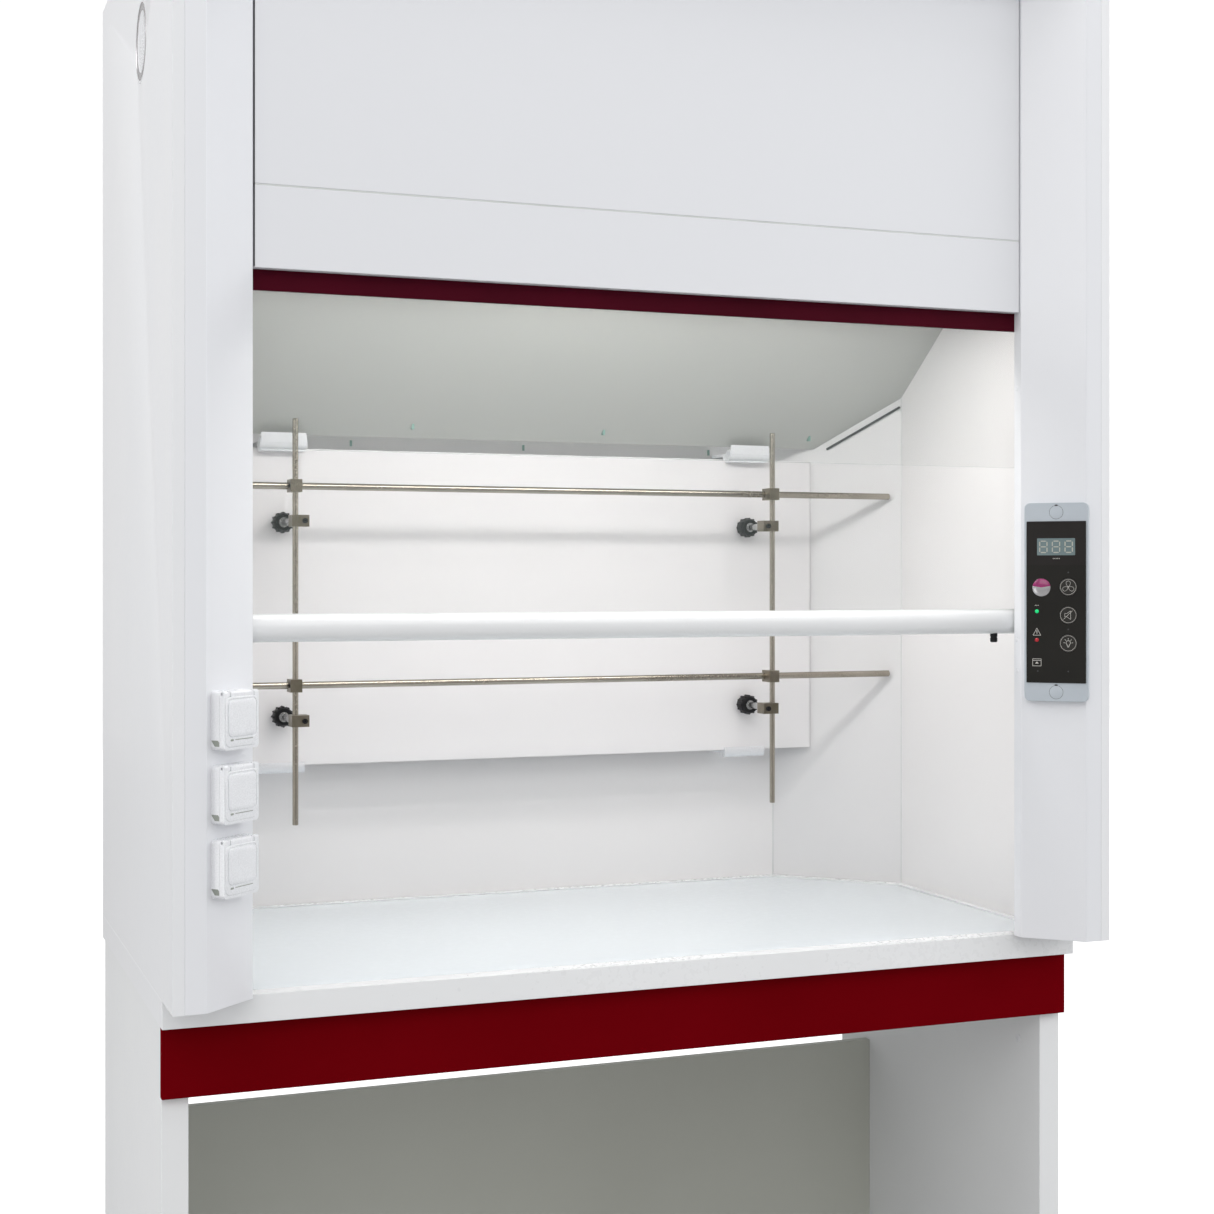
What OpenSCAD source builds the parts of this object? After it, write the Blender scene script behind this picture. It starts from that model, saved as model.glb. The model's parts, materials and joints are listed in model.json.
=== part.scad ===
// Bench fume hood on a table base: a glazed two-part rising sash, folded side columns,
// a baffled working chamber with a rod lattice, a controller and three power sockets.
// Millimetres, +Z up, +Y towards the back, origin on the floor under the middle of the cabinet.

/* [Cabinet] */
// Overall width over the side panels
hood_w = 1500; // [1400:10:1800]
// Depth from the worktop's front edge to the back
hood_d = 735; // [735:5:800]
// Height of the working surface above the floor
worktop_z = 900; // [860:5:940]
// Height of the top edge of the side panels
cabinet_top_z = 2480; // [2480:10:2600]
// How far the columns stand in front of the worktop
column_reach = 100; // [100:1:104]
// Thickness of the laminate side panels
side_t = 16; // [14:1:16]

/* [Base] */
// Thickness of the worktop slab
worktop_t = 40; // [30:1:42]
// Thickness of the two leg panels
leg_t = 38; // [25:1:40]
// Height of the coloured apron under the worktop
apron_h = 103; // [80:1:120]
// Height of the levelling feet
foot_h = 20; // [16:1:30]

/* [Columns] */
// Width of the flat front strip of a column
strip_w = 29; // [26:1:31]
// Width that a column's bevel covers, seen from the front
bevel_w = 76; // [76:1:78]
// Depth that a column's bevel covers
bevel_d = 72; // [72:1:74]
// Thickness of the folded steel sheet
sheet_t = 2; // [1.5:0.5:2]

/* [Sash] */
// Height of the opening under the handle as it stands
opening_h = 497; // [440:1:500]
// Diameter of the handle tube
handle_d = 40; // [36:1:40]
// Thickness of the glass panes
pane_t = 5; // [4:0.5:6]
// Height of the upper pane's lower edge above the handle's middle
pane_step = 256; // [250:1:270]

/* [Chamber] */
// Width of the rear baffle
baffle_w = 1192; // [1000:2:1194]
// Height of the rear baffle
baffle_h = 562; // [500:2:562]
// Height of the baffle's lower edge above the worktop
baffle_rise = 257; // [240:1:257]
// Slope of the ceiling panel in degrees from level
ceiling_slope = 37; // [34:1:38]
// Distance between the two upright lattice rods
rod_gap = 904; // [700:2:904]
// Radius of the upright rods
upright_r = 5; // [4:0.5:5]
// Radius of the cross rods and the rods out of the wall
cross_r = 6; // [5:0.5:6]

/* [Fittings] */
// Diameter of the exhaust spigot
spigot_d = 250; // [200:10:315]
// Height of a power socket box
socket_h = 80; // [70:1:84]
// Width of a power socket box along the bevel
socket_w = 78; // [60:1:80]
// Length of the controller housing
controller_h = 322; // [280:1:330]
// Width of the controller housing
controller_w = 102; // [90:1:104]

/* [Hidden] */
$fn = 48;

socket_out = 22;              // how far a closed socket stands off the bevel
socket_start = 10;            // from the bevel's front edge to the box
bevel_len = sqrt(bevel_w * bevel_w + bevel_d * bevel_d);
bevel_a = atan2(bevel_d, bevel_w);
corner_r = 6;                 // rounding of the socket boxes
housing_t = 12;               // depth of the controller's housing
controller_mid = 46;          // middle of the housing, from the bevel's front edge
front_reach = column_reach + (controller_w / 2 - controller_mid) * sin(bevel_a)
    + housing_t * cos(bevel_a);
yf = -(hood_d + front_reach) / 2 + front_reach;     // front edge of the worktop
yb = yf + hood_d;                                   // back of the cabinet
xo = hood_w / 2;                                    // outer face of a side panel
liner_t = 4;
xi = xo - side_t - liner_t;                         // inner face of a side liner
roof_t = 4;

// worktop
rim = 30;                     // raised rim round the glass
rim_h = 8;                    // depth of the recess
glass_t = 6;
gap = 1.5;                    // shadow gap between panels

// chamber
corner_run = 185;             // how far a corner panel comes forward and inward
liner_y = yf + 720;           // front face of the rear liner
corner_y = liner_y - corner_run;
chamber_top = cabinet_top_z - 56;
baffle_y = yf + 660;          // front face of the baffle
baffle_t = 6;
baffle_z = worktop_z + baffle_rise;
ceiling_z = baffle_z + baffle_h + 24;               // ceiling's lower edge, over the upper slot
ceiling_t = 5;
header_y = yf + 40;           // inner header, behind both panes
header_t = 3;

// fascia
column_w = strip_w + bevel_w + side_t;              // side panel's face to the opening
fascia_y = yf - column_reach + bevel_d + 3;         // front face of the fascia
fascia_x = xo - column_w - gap;
fascia_z = worktop_z + 1024;
seam_z = fascia_z + 117;
fascia_d = 17;
header_rail_z = fascia_z - 29;

// sash: the lower pane runs in front of the upper one
lower_y = yf + 14;            // middle of the lower pane
upper_y = yf + 30;            // middle of the upper pane
pane_x = xo - 62;             // outer edge of both panes
handle_z = worktop_z + opening_h + handle_d / 2;
lower_top_z = handle_z + 533;
upper_z = handle_z + pane_step;
upper_h = 505;
handle_x = xo - 82;           // end of the handle tube
button_x = 604;
track_x = xo - 56;            // outer face of the tracks
track_w = 22;
groove_w = 8;

// drive: a stepped pulley moves the upper pane at half the speed of the lower one
drive_y = yf + 3;
shaft_z = cabinet_top_z - 34;
idler_z = worktop_z + 45;
shaft_r = 8;
pitch_r = 25;                 // belt line of the large step
belt_t = 2;
belt_w = 10;
belt_x = xo - 44;             // middle of the large belts
small_belt_x = xo - 32;       // middle of the small belts
run_gap = 0.3;                // clearance between moving faces
weight_h = 465;
weight_z = idler_z + 495;
weight_w = 40;
weight_d = 52;

// lattice
upright_y = yf + 533;
cross_y = yf + 547;
rod_x = rod_gap / 2;
wall_rod_z = [worktop_z + 345, worktop_z + 687];    // rods out of the wall
cross_rod_z = [worktop_z + 405, worktop_z + 747];
upright_z = worktop_z + 167;
upright_h = 695;
cross_x = xo - 41;
knob_r = 19;
knob_h = 34;

// controller
face_t = 1.5;
button_r = 13.8;
button_travel = 1.2;
controller_z = worktop_z + 389;
button_along = controller_mid - 19.5;
button_z = [for (i = [0:2]) worktop_z + 574.5 - 45.5 * i];
face_x = controller_w - 7;
face_z = 262;
face_rise = 30;               // from the housing's lower end to the face

// sockets, from the top one down
socket_z = [for (i = [0:2]) worktop_z + 395 - 100.5 * i];
lid_t = 8;
box_t = socket_out - lid_t;
lid_pin_r = 2;

// true for the left side, false for the right: one side is drawn and mirrored
module both_sides() {
    children();
    mirror([1, 0, 0]) children();
}

// the left side of the cabinet, seen from the front
module on_left() {
    mirror([1, 0, 0]) children();
}

module block(x0, x1, y0, y1, z0, z1) {
    translate([x0, y0, z0]) cube([x1 - x0, y1 - y0, z1 - z0]);
}

// a round bar along X, Y or Z from a point
module bar_x(r, x0, x1, y, z) {
    translate([x0, y, z]) rotate([0, 90, 0]) cylinder(r = r, h = x1 - x0);
}
module bar_y(r, x, y0, y1, z) {
    translate([x, y1, z]) rotate([90, 0, 0]) cylinder(r = r, h = y1 - y0);
}
module bar_z(r, x, y, z0, z1) {
    translate([x, y, z0]) cylinder(r = r, h = z1 - z0);
}

// puts children on the right column's bevel: x along it from its front edge, -y straight out
module on_bevel(z) {
    translate([xo - side_t - strip_w, yf - column_reach, z])
        mirror([1, 0, 0]) rotate([0, 0, bevel_a]) children();
}

// a slab on the bevel plane with rounded corners, standing off it from a to b
module bevel_slab(x, z, w, h, r, a, b) {
    translate([x + w / 2, -a, z + h / 2]) rotate([90, 0, 0])
        linear_extrude(b - a) rounded(w, h, r);
}

module rounded(w, h, r) {
    square([w - 2 * r, h], center = true);
    square([w, h - 2 * r], center = true);
    for (sx = [-1, 1], sy = [-1, 1])
        translate([sx * (w / 2 - r), sy * (h / 2 - r)]) circle(r);
}

// ---- base ----
module leg_panel_right() {
    color("gainsboro")
        block(xo - 4 - leg_t, xo - 4, yf + 36, yb, foot_h, worktop_z - worktop_t);
}

module base_back_panel() {
    color("darkgray")
        block(-xo + 4 + leg_t, xo - 4 - leg_t, yf + 620, yf + 638, 120, worktop_z - 320);
}

module base_rear_rail() {
    color("gainsboro")
        block(-xo + 4 + leg_t, xo - 4 - leg_t, yb - 25, yb,
              worktop_z - worktop_t - 80, worktop_z - worktop_t);
}

module front_apron() {
    color("darkred")
        block(-xo + 2.5, xo - 2.5, yf + 21, yf + 36,
              worktop_z - worktop_t - apron_h, worktop_z - worktop_t);
}

module levelling_feet() {
    color("dimgray")
        both_sides() for (y = [yf + 90, yb - 60])
            translate([xo - 4 - leg_t / 2, y, 0]) {
                cylinder(r = 16, h = 8);
                translate([0, 0, 8]) cylinder(r = 5, h = foot_h - 8);
            }
}

module chamber_plan(inset, front) {
    x = xi - inset;
    c = corner_run - 0.4 * inset;
    y1 = liner_y - inset;
    polygon([[-x, front], [x, front], [x, y1 - c], [x - c, y1], [-x + c, y1], [-x, y1 - c]]);
}

module worktop() {
    color("whitesmoke") difference() {
        block(-xo, xo, yf, yb, worktop_z - worktop_t, worktop_z);
        translate([0, 0, worktop_z - rim_h])
            linear_extrude(rim_h + 1) chamber_plan(12, yf + rim);
    }
}

module worktop_glass() {
    color("lightcyan") translate([0, 0, worktop_z - rim_h])
        linear_extrude(glass_t) chamber_plan(12 + gap, yf + rim + gap);
}

// ---- cabinet shell ----
module side_panel_right() {
    color("gainsboro")
        block(xo - side_t, xo, yf - column_reach, yb, worktop_z, cabinet_top_z);
}

// the left panel carries a plain round badge let in flush
badge_r = 62;
badge_t = 2;
module at_badge() {
    translate([-xo, yf + 223, cabinet_top_z - 187]) rotate([0, 90, 0]) children();
}

module side_panel_left() {
    color("gainsboro") difference() {
        on_left() side_panel_right();
        at_badge() translate([0, 0, -1]) cylinder(r = badge_r, h = badge_t + 1);
    }
}

module side_badge() {
    color("lightgray") at_badge() cylinder(r = badge_r, h = badge_t);
}

// folded sheet: front strip, bevel and a short return into the opening, on a welded foot plate
module column_right() {
    x0 = xo - side_t;
    x1 = x0 - strip_w;
    x2 = x1 - bevel_w;
    y0 = yf - column_reach;
    y2 = y0 + bevel_d;
    y3 = yf - 8;
    t = sheet_t;
    k = t * tan(bevel_a / 2);
    m = t * tan((90 - bevel_a) / 2);
    color("gainsboro") translate([0, 0, worktop_z]) {
        linear_extrude(cabinet_top_z - roof_t - worktop_z)
            polygon([[x0, y0], [x1, y0], [x2, y2], [x2, y3], [x2 + t, y3], [x2 + t, y2 + m],
                     [x1 + k, y0 + t], [x0, y0 + t]]);
        linear_extrude(t) polygon([[x0, y0], [x1, y0], [x2, y2], [x2, y3], [x0, y3]]);
    }
}

module upper_fascia() {
    color("gainsboro")
        block(-fascia_x, fascia_x, fascia_y, fascia_y + fascia_d, seam_z + 1, cabinet_top_z - roof_t);
}

module lower_fascia() {
    color("gainsboro")
        block(-fascia_x, fascia_x, fascia_y, fascia_y + fascia_d, fascia_z, seam_z - 1);
}

module header_rail() {
    color("darkred")
        block(-xo + 104, xo - 104, yf - 8, yf, header_rail_z, fascia_z + 21);
}

module inner_header() {
    color("gainsboro")
        block(-xi, xi, header_y, header_y + header_t, header_rail_z + 8, cabinet_top_z - roof_t);
}

module roof_panel() {
    color("gainsboro") difference() {
        block(-xo + side_t, xo - side_t, yf - column_reach, yb, cabinet_top_z - roof_t, cabinet_top_z);
        translate([0, yf + 400, cabinet_top_z - roof_t - 1]) cylinder(r = spigot_d / 2, h = roof_t + 2);
    }
}

module back_panel() {
    color("gainsboro")
        block(-xo + side_t, xo - side_t, yb - 4, yb, worktop_z, cabinet_top_z - roof_t);
}

module exhaust_spigot() {
    r = spigot_d / 2;
    color("lightgray") translate([0, yf + 400, 0]) rotate_extrude($fn = 96)
        polygon([[r - 2, cabinet_top_z - 34], [r, cabinet_top_z - 34], [r, cabinet_top_z],
                 [r + 28, cabinet_top_z], [r + 28, cabinet_top_z + 3], [r, cabinet_top_z + 3],
                 [r, cabinet_top_z + 80], [r - 2, cabinet_top_z + 80]]);
}

// ---- chamber lining ----
module side_liners() {
    color("white") both_sides()
        block(xi, xi + liner_t, yf + 20, corner_y, worktop_z, chamber_top);
}

module corner_panels() {
    t = liner_t / sqrt(2) * 2;
    color("white") both_sides() translate([0, 0, worktop_z])
        linear_extrude(chamber_top - worktop_z)
            polygon([[xi, corner_y], [xi + liner_t, corner_y], [xi + liner_t, corner_y + t - liner_t],
                     [xi - corner_run + t, liner_y], [xi - corner_run, liner_y]]);
}

module rear_liner() {
    color("white")
        block(-xi + corner_run, xi - corner_run, liner_y, liner_y + liner_t, worktop_z, chamber_top);
}

// slopes up and forward from the baffle to the inner header, cut round the corner panels
module ceiling_panel() {
    run = baffle_y - header_y - header_t;
    rise = run * tan(ceiling_slope);
    thick = ceiling_t / cos(ceiling_slope);
    color("silver") intersection() {
        translate([xi, 0, 0]) rotate([90, 0, -90]) linear_extrude(2 * xi)
            polygon([[-baffle_y, ceiling_z], [-baffle_y + run, ceiling_z + rise],
                     [-baffle_y + run, ceiling_z + rise + thick], [-baffle_y, ceiling_z + thick]]);
        translate([0, 0, worktop_z]) linear_extrude(chamber_top - worktop_z)
            chamber_plan(0, header_y);
    }
}

module rear_baffle() {
    color("white") difference() {
        block(-baffle_w / 2, baffle_w / 2, baffle_y, baffle_y + baffle_t, baffle_z, baffle_z + baffle_h);
        for (sx = [-1, 1], z = wall_rod_z)
            bar_y(cross_r + run_gap, sx * rod_x, baffle_y - 1, baffle_y + baffle_t + 1, z);
    }
}

// slotted grips on the baffle's edges, with flat tongues back to the rear liner; the upper pair
// stands forward of the ceiling's lower edge and carries a lip
module baffle_grips() {
    r = 10;
    bite = 6;
    tongue = 3;
    lip_h = 8;
    lip_t = 4;
    forward = 20;
    top_z = baffle_z + baffle_h;
    color("white") for (sx = [-1, 1], top = [0, 1]) {
        z = top == 1 ? top_z + r - 2 : baffle_z - r + bite;
        y = top == 1 ? baffle_y - forward : baffle_y + baffle_t / 2;
        x0 = sx * rod_x - 40;
        x1 = sx * rod_x + 40;
        difference() {
            union() {
                bar_x(r, x0 - 2, x1 + 2, y, z);
                block(x0, x1, y, liner_y, z - tongue, z + tongue);
                if (top == 1) {
                    block(x0, x1, y, baffle_y + baffle_t + 3, top_z - bite, z);
                    block(x0, x1, y - r - 1, y - r - 1 + lip_t, z, z + r + lip_h);
                }
            }
            block(-baffle_w / 2, baffle_w / 2, baffle_y, baffle_y + baffle_t, baffle_z, top_z);
        }
    }
}

lamp_y = header_y + header_t;
lamp_z = worktop_z + 1090;
module lamp_housing() {
    color("silver") difference() {
        block(-620, 620, lamp_y, lamp_y + 90, lamp_z, lamp_z + 50);
        block(-612, 612, lamp_y + 8, lamp_y + 82, lamp_z - 1, lamp_z + 42);
    }
}

module lamp_diffuser() {
    color("ivory")
        block(-612, 612, lamp_y + 8, lamp_y + 82, lamp_z + 2, lamp_z + 8);
}

// ---- rod lattice ----
module upright_rods() {
    color("tan") both_sides() bar_z(upright_r, rod_x, upright_y, upright_z, upright_z + upright_h);
}

module cross_rods() {
    color("tan") for (z = cross_rod_z) bar_x(cross_r, -cross_x, cross_x, cross_y, z);
}

// tapered black holders with a fluted grip, screwed on the baffle's face
module rod_sockets() {
    flutes = 10;
    color("black") for (sx = [-1, 1], z = wall_rod_z)
        translate([sx * rod_x, baffle_y, z]) rotate([90, 0, 0]) difference() {
            rotate_extrude() polygon([
                [cross_r, 0], [knob_r - 4, 0], [knob_r - 1.5, 3], [knob_r, 9], [knob_r, 15],
                [knob_r - 3, knob_h], [cross_r, knob_h]]);
            for (i = [0:flutes - 1]) rotate([0, 0, 360 / flutes * i])
                translate([knob_r + 1, 0, -1]) cylinder(r = 2.6, h = knob_h + 2);
        }
}

module wall_rods() {
    color("silver") for (sx = [-1, 1], z = wall_rod_z)
        bar_y(cross_r, sx * rod_x, upright_y + upright_r + 3, baffle_y + baffle_t + 6, z);
}

// square bosses: one grips an upright and a wall rod, the other an upright and a cross rod
module rod_clamps() {
    color("tan") both_sides() {
        for (z = wall_rod_z) difference() {
            block(rod_x - 22, rod_x + 8, upright_y - 11, upright_y + 19, z - 10, z + 10);
            bar_z(upright_r, rod_x, upright_y, z - 11, z + 11);
            bar_y(cross_r, rod_x, upright_y + upright_r + 3, upright_y + 20, z);
            bar_y(3, rod_x - 14, upright_y - 12, upright_y - 2, z);
        }
        for (z = cross_rod_z) difference() {
            block(rod_x - 10, rod_x + 10, upright_y - 10, cross_y + 9, z - 11, z + 11);
            bar_z(upright_r, rod_x, upright_y, z - 12, z + 12);
            bar_x(cross_r, rod_x - 11, rod_x + 11, cross_y, z);
        }
    }
}

// thumb screws of the wall-rod clamps
module clamp_screws() {
    color("black") both_sides() for (z = wall_rod_z) {
        bar_y(3, rod_x - 14, upright_y - 11, upright_y - 2, z);
        bar_y(4.5, rod_x - 14, upright_y - 16, upright_y - 11, z);
    }
}

// ---- sash ----
module sash_tracks() {
    x0 = track_x - track_w;
    y0 = lower_y - groove_w / 2 - 2.5;
    y1 = upper_y + groove_w / 2 + 3;
    color("silver") both_sides() difference() {
        block(x0, track_x, y0, y1, worktop_z, shaft_z - 12);
        for (y = [lower_y, upper_y])
            block(x0 - 1, track_x - 3, y - groove_w / 2, y + groove_w / 2, worktop_z - 1, shaft_z);
    }
}

module lower_pane() {
    color("lightblue", 0.4)
        block(-pane_x, pane_x, lower_y - pane_t / 2, lower_y + pane_t / 2,
              handle_z + handle_d / 2 - 2.4, lower_top_z);
}

module upper_pane() {
    color("lightblue", 0.4)
        block(-pane_x, pane_x, upper_y - pane_t / 2, upper_y + pane_t / 2, upper_z, upper_z + upper_h);
}

// hollow tube, slotted on top for the pane and drilled below for the release button
module sash_handle() {
    color("white") difference() {
        bar_x(handle_d / 2, -handle_x, handle_x, lower_y, handle_z);
        bar_x(handle_d / 2 - 2.5, -handle_x - 1, handle_x + 1, lower_y, handle_z);
        block(-handle_x - 1, handle_x + 1, lower_y - pane_t / 2, lower_y + pane_t / 2,
              handle_z + handle_d / 2 - 3, handle_z + handle_d);
        bar_z(6.5, button_x, lower_y, handle_z - handle_d, handle_z);
    }
}

module handle_caps() {
    color("white") both_sides()
        bar_x(handle_d / 2 - 2.5, handle_x - 12, handle_x, lower_y, handle_z);
}

// press to pass the stop at working height
module release_button() {
    color("black") {
        bar_z(6, button_x, lower_y, handle_z - 34, handle_z - 8);
        bar_z(9, button_x, lower_y, handle_z - 8, handle_z - 4);
    }
}

// from the pane's top corner round the front of the track to the large belt
module lower_belt_arms() {
    z1 = lower_top_z - 2;
    z0 = z1 - 18;
    y0 = yf + 4;
    color("silver") both_sides() {
        block(xo - 100, xo - 80, y0 + 2.5, lower_y - pane_t / 2, z0, z1);
        block(xo - 100, belt_x + 6, y0, y0 + 2.5, z0, z1);
        block(belt_x - 6, belt_x + 6, y0 + 2.5, drive_y + pitch_r - belt_t / 2 - run_gap, z0, z1);
    }
}

// over the lower pane's top edge and round to the small belt
module upper_belt_arms() {
    z0 = upper_z + upper_h;
    z1 = z0 + 12;
    color("silver") both_sides() {
        block(xo - 100, xo - 80, yf + 3, upper_y + pane_t / 2, z0, z1);
        block(xo - 100, small_belt_x + 5, yf - 2, yf + 3, z0, z1);
        block(small_belt_x - 5, small_belt_x + 5, yf + 3,
              drive_y + (pitch_r - belt_t) / 2 - run_gap, z0, z1);
    }
}

// ---- drive ----
// a closed belt loop in the Y-Z plane, centred on the shafts
module belt_loop(x, r) {
    top = shaft_z - idler_z;
    translate([x + belt_w / 2, drive_y, idler_z]) rotate([90, 0, -90]) linear_extrude(belt_w)
        difference() {
            stadium(r + belt_t / 2, top);
            stadium(r - belt_t / 2, top);
        }
}

module stadium(r, h) {
    circle(r, $fn = 64);
    translate([0, h]) circle(r, $fn = 64);
    translate([-r, 0]) square([2 * r, h]);
}

module sash_belts() {
    color("dimgray") both_sides() {
        belt_loop(belt_x, pitch_r);
        belt_loop(small_belt_x, pitch_r / 2);
    }
}

module sync_shaft() {
    color("silver")
        bar_x(shaft_r, -xo + side_t + 0.5, xo - side_t - 0.5, drive_y, shaft_z);
}

// a large and a small step, each under its belt
module stepped_pulley(z, bore) {
    big = pitch_r - belt_t / 2 - run_gap;
    small = pitch_r / 2 - belt_t / 2 - run_gap;
    difference() {
        union() {
            bar_x(big, belt_x - 5.5, belt_x + 5.5, drive_y, z);
            bar_x(small, small_belt_x - 6.5, small_belt_x + 5.5, drive_y, z);
        }
        bar_x(bore, belt_x - 6, small_belt_x + 6, drive_y, z);
    }
}

module drive_pulleys() {
    color("gray") both_sides() stepped_pulley(shaft_z, shaft_r);
}

module idler_pulleys() {
    color("gray") both_sides() stepped_pulley(idler_z, 5.05);
}

module idler_pins() {
    color("silver") both_sides() bar_x(5, belt_x - 12, xo - side_t, drive_y, idler_z);
}

module shaft_bearings() {
    color("dimgray") both_sides() difference() {
        block(xo - side_t - 7, xo - side_t, drive_y - 16, drive_y + 16, shaft_z - 16, shaft_z + 16);
        bar_x(shaft_r + 0.05, xo - side_t - 8, xo - side_t + 1, drive_y, shaft_z);
    }
}

// steel weights that ride on the front run of the large belts
module counterweights() {
    y1 = yf - 12.5;
    belt_y = drive_y - pitch_r;
    color("slategray") both_sides() difference() {
        block(xo - 24 - weight_w, xo - 24, y1 - weight_d, y1, weight_z, weight_z + weight_h);
        block(belt_x - 6, belt_x + 6, belt_y - 2, belt_y + 2, weight_z - 1, weight_z + weight_h + 1);
    }
}

// ---- power sockets on the left bevel ----
ear_w = 5;
ear_in = 10;                  // from the lid's side to an ear
barrel_r = (lid_t - run_gap) / 2;
lid_axis = [box_t + run_gap + barrel_r, socket_h - barrel_r];   // depth and height of a lid's pin

// children once for each of a socket's two hinge ears, at the ear's near side
module at_ears() {
    for (x = [socket_start + ear_in, socket_start + socket_w - ear_in - ear_w])
        translate([x, 0, 0]) children();
}

module socket_boxes() {
    color("white") on_left() for (z = socket_z) on_bevel(z - socket_h / 2) difference() {
        union() {
            bevel_slab(socket_start, 0, socket_w, socket_h, corner_r, 0, box_t);
            at_ears() translate([0, -box_t - 7, socket_h - 8]) cube([ear_w, 7, 8]);
        }
        bevel_slab(socket_start + 7, 7, socket_w - 14, socket_h - 18, 4, 6, box_t + 1);
        pin_bar(lid_pin_r, 2);
    }
}

module pin_bar(r, inset) {
    bar_x(r, socket_start + inset, socket_start + socket_w - inset, -lid_axis[0], lid_axis[1]);
}

module lid_pins() {
    color("silver") on_left() for (z = socket_z) on_bevel(z - socket_h / 2) pin_bar(lid_pin_r, 3);
}

// round earthed outlet plates inside the boxes
module socket_faces() {
    well_r = 19.5;
    h = socket_h - 22;
    color("gray") on_left() for (z = socket_z) on_bevel(z - socket_h / 2) difference() {
        bevel_slab(socket_start + 9, 9, socket_w - 18, h, 4, 6, box_t - 2);
        translate([socket_start + socket_w / 2, -box_t + 5, 9 + h / 2]) rotate([90, 0, 0])
            cylinder(r = well_r, h = 4);
    }
}

// a shallow cap that ends above in a barrel round its pin, notched for the two ears
module socket_lid(i) {
    z1 = lid_axis[1];
    color("white") on_left() on_bevel(socket_z[i] - socket_h / 2) difference() {
        union() {
            intersection() {
                bevel_slab(socket_start, 0, socket_w, socket_h, corner_r, box_t + run_gap, socket_out);
                block(0, bevel_len, -socket_out - 1, 0, 0, z1);
            }
            bar_x(barrel_r, socket_start, socket_start + socket_w, -lid_axis[0], z1);
        }
        bevel_slab(socket_start + 5, 5, socket_w - 10, socket_h - 20, 3, box_t, socket_out - 2.5);
        at_ears() translate([-run_gap, -socket_out - 1, z1 - 8.5])
            cube([ear_w + 2 * run_gap, lid_t + 2, 20]);
        pin_bar(lid_pin_r + 0.05, -1);
    }
}

// ---- controller on the right bevel ----
module controller_housing() {
    x0 = controller_mid - controller_w / 2;
    color("lightslategray") on_bevel(controller_z) difference() {
        bevel_slab(x0, 0, controller_w, controller_h, 9, 0, housing_t);
        for (z = button_z)
            translate([button_along, -housing_t + 6, z - controller_z]) rotate([90, 0, 0])
                cylinder(r = button_r + run_gap, h = 8);
    }
}

module controller_face() {
    color("black") on_bevel(controller_z) difference() {
        bevel_slab(controller_mid - face_x / 2, face_rise, face_x, face_z, 1, housing_t, housing_t + face_t);
        for (z = button_z)
            translate([button_along, -housing_t + 1, z - controller_z]) rotate([90, 0, 0])
                cylinder(r = button_r + run_gap, h = 4);
    }
}

module push_button(i) {
    color("dimgray") on_bevel(button_z[i]) translate([button_along, -housing_t + 4, 0])
        rotate([90, 0, 0]) cylinder(r = button_r, h = face_t + 4.4);
}

on_left() leg_panel_right();  // leg_panel_left
leg_panel_right();
base_back_panel();
base_rear_rail();
front_apron();
levelling_feet();
worktop();
worktop_glass();
side_panel_left();
side_panel_right();
side_badge();
on_left() column_right();  // column_left
column_right();
upper_fascia();
lower_fascia();
header_rail();
inner_header();
roof_panel();
back_panel();
exhaust_spigot();
side_liners();
corner_panels();
rear_liner();
ceiling_panel();
rear_baffle();
baffle_grips();
lamp_housing();
lamp_diffuser();
upright_rods();
cross_rods();
rod_sockets();
wall_rods();
rod_clamps();
clamp_screws();
sash_tracks();
lower_pane();
sash_handle();
handle_caps();
release_button();
lower_belt_arms();
upper_pane();
upper_belt_arms();
sash_belts();
sync_shaft();
drive_pulleys();
shaft_bearings();
idler_pulleys();
idler_pins();
counterweights();
socket_boxes();
socket_faces();
lid_pins();
socket_lid(0);  // socket_lid_top
socket_lid(1);  // socket_lid_middle
socket_lid(2);  // socket_lid_bottom
controller_housing();
controller_face();
push_button(0);  // button_fan
push_button(1);  // button_alarm
push_button(2);  // button_lamp
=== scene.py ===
import json
import math
import bmesh
import bpy
from mathutils import Matrix, Vector


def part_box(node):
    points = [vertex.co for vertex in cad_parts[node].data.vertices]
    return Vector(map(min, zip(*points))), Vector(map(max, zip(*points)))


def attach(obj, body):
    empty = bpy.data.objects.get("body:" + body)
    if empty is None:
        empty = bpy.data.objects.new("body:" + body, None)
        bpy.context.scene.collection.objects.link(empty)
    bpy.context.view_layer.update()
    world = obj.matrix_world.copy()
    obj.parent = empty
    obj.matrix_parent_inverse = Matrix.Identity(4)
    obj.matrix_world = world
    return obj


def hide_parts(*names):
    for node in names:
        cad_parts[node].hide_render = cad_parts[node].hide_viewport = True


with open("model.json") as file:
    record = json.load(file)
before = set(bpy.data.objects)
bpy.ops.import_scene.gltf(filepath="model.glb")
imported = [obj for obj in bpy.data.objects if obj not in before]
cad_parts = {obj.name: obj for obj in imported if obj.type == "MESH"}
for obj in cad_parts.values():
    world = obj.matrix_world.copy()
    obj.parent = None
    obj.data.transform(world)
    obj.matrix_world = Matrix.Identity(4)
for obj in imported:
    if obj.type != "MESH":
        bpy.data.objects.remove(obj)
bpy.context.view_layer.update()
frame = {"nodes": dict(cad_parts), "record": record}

nodes = frame["nodes"]
bodyOf = {node: body for body, names in frame["record"]["behaviour"]["bodies"].items() for node in names}

# shapes are drawn in millimetres: x from the middle, y back from the worktop's front edge, z from the floor
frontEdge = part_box("worktop")[0].y
toFrame = Matrix.Translation((0, frontEdge, 0)) @ Matrix.Scale(0.001, 4)
bevel = dict(wide=76, deep=72, foldX=705, foldY=-100)
bevelTurn = math.atan2(bevel["deep"], bevel["wide"])
print("frame loaded")


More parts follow.
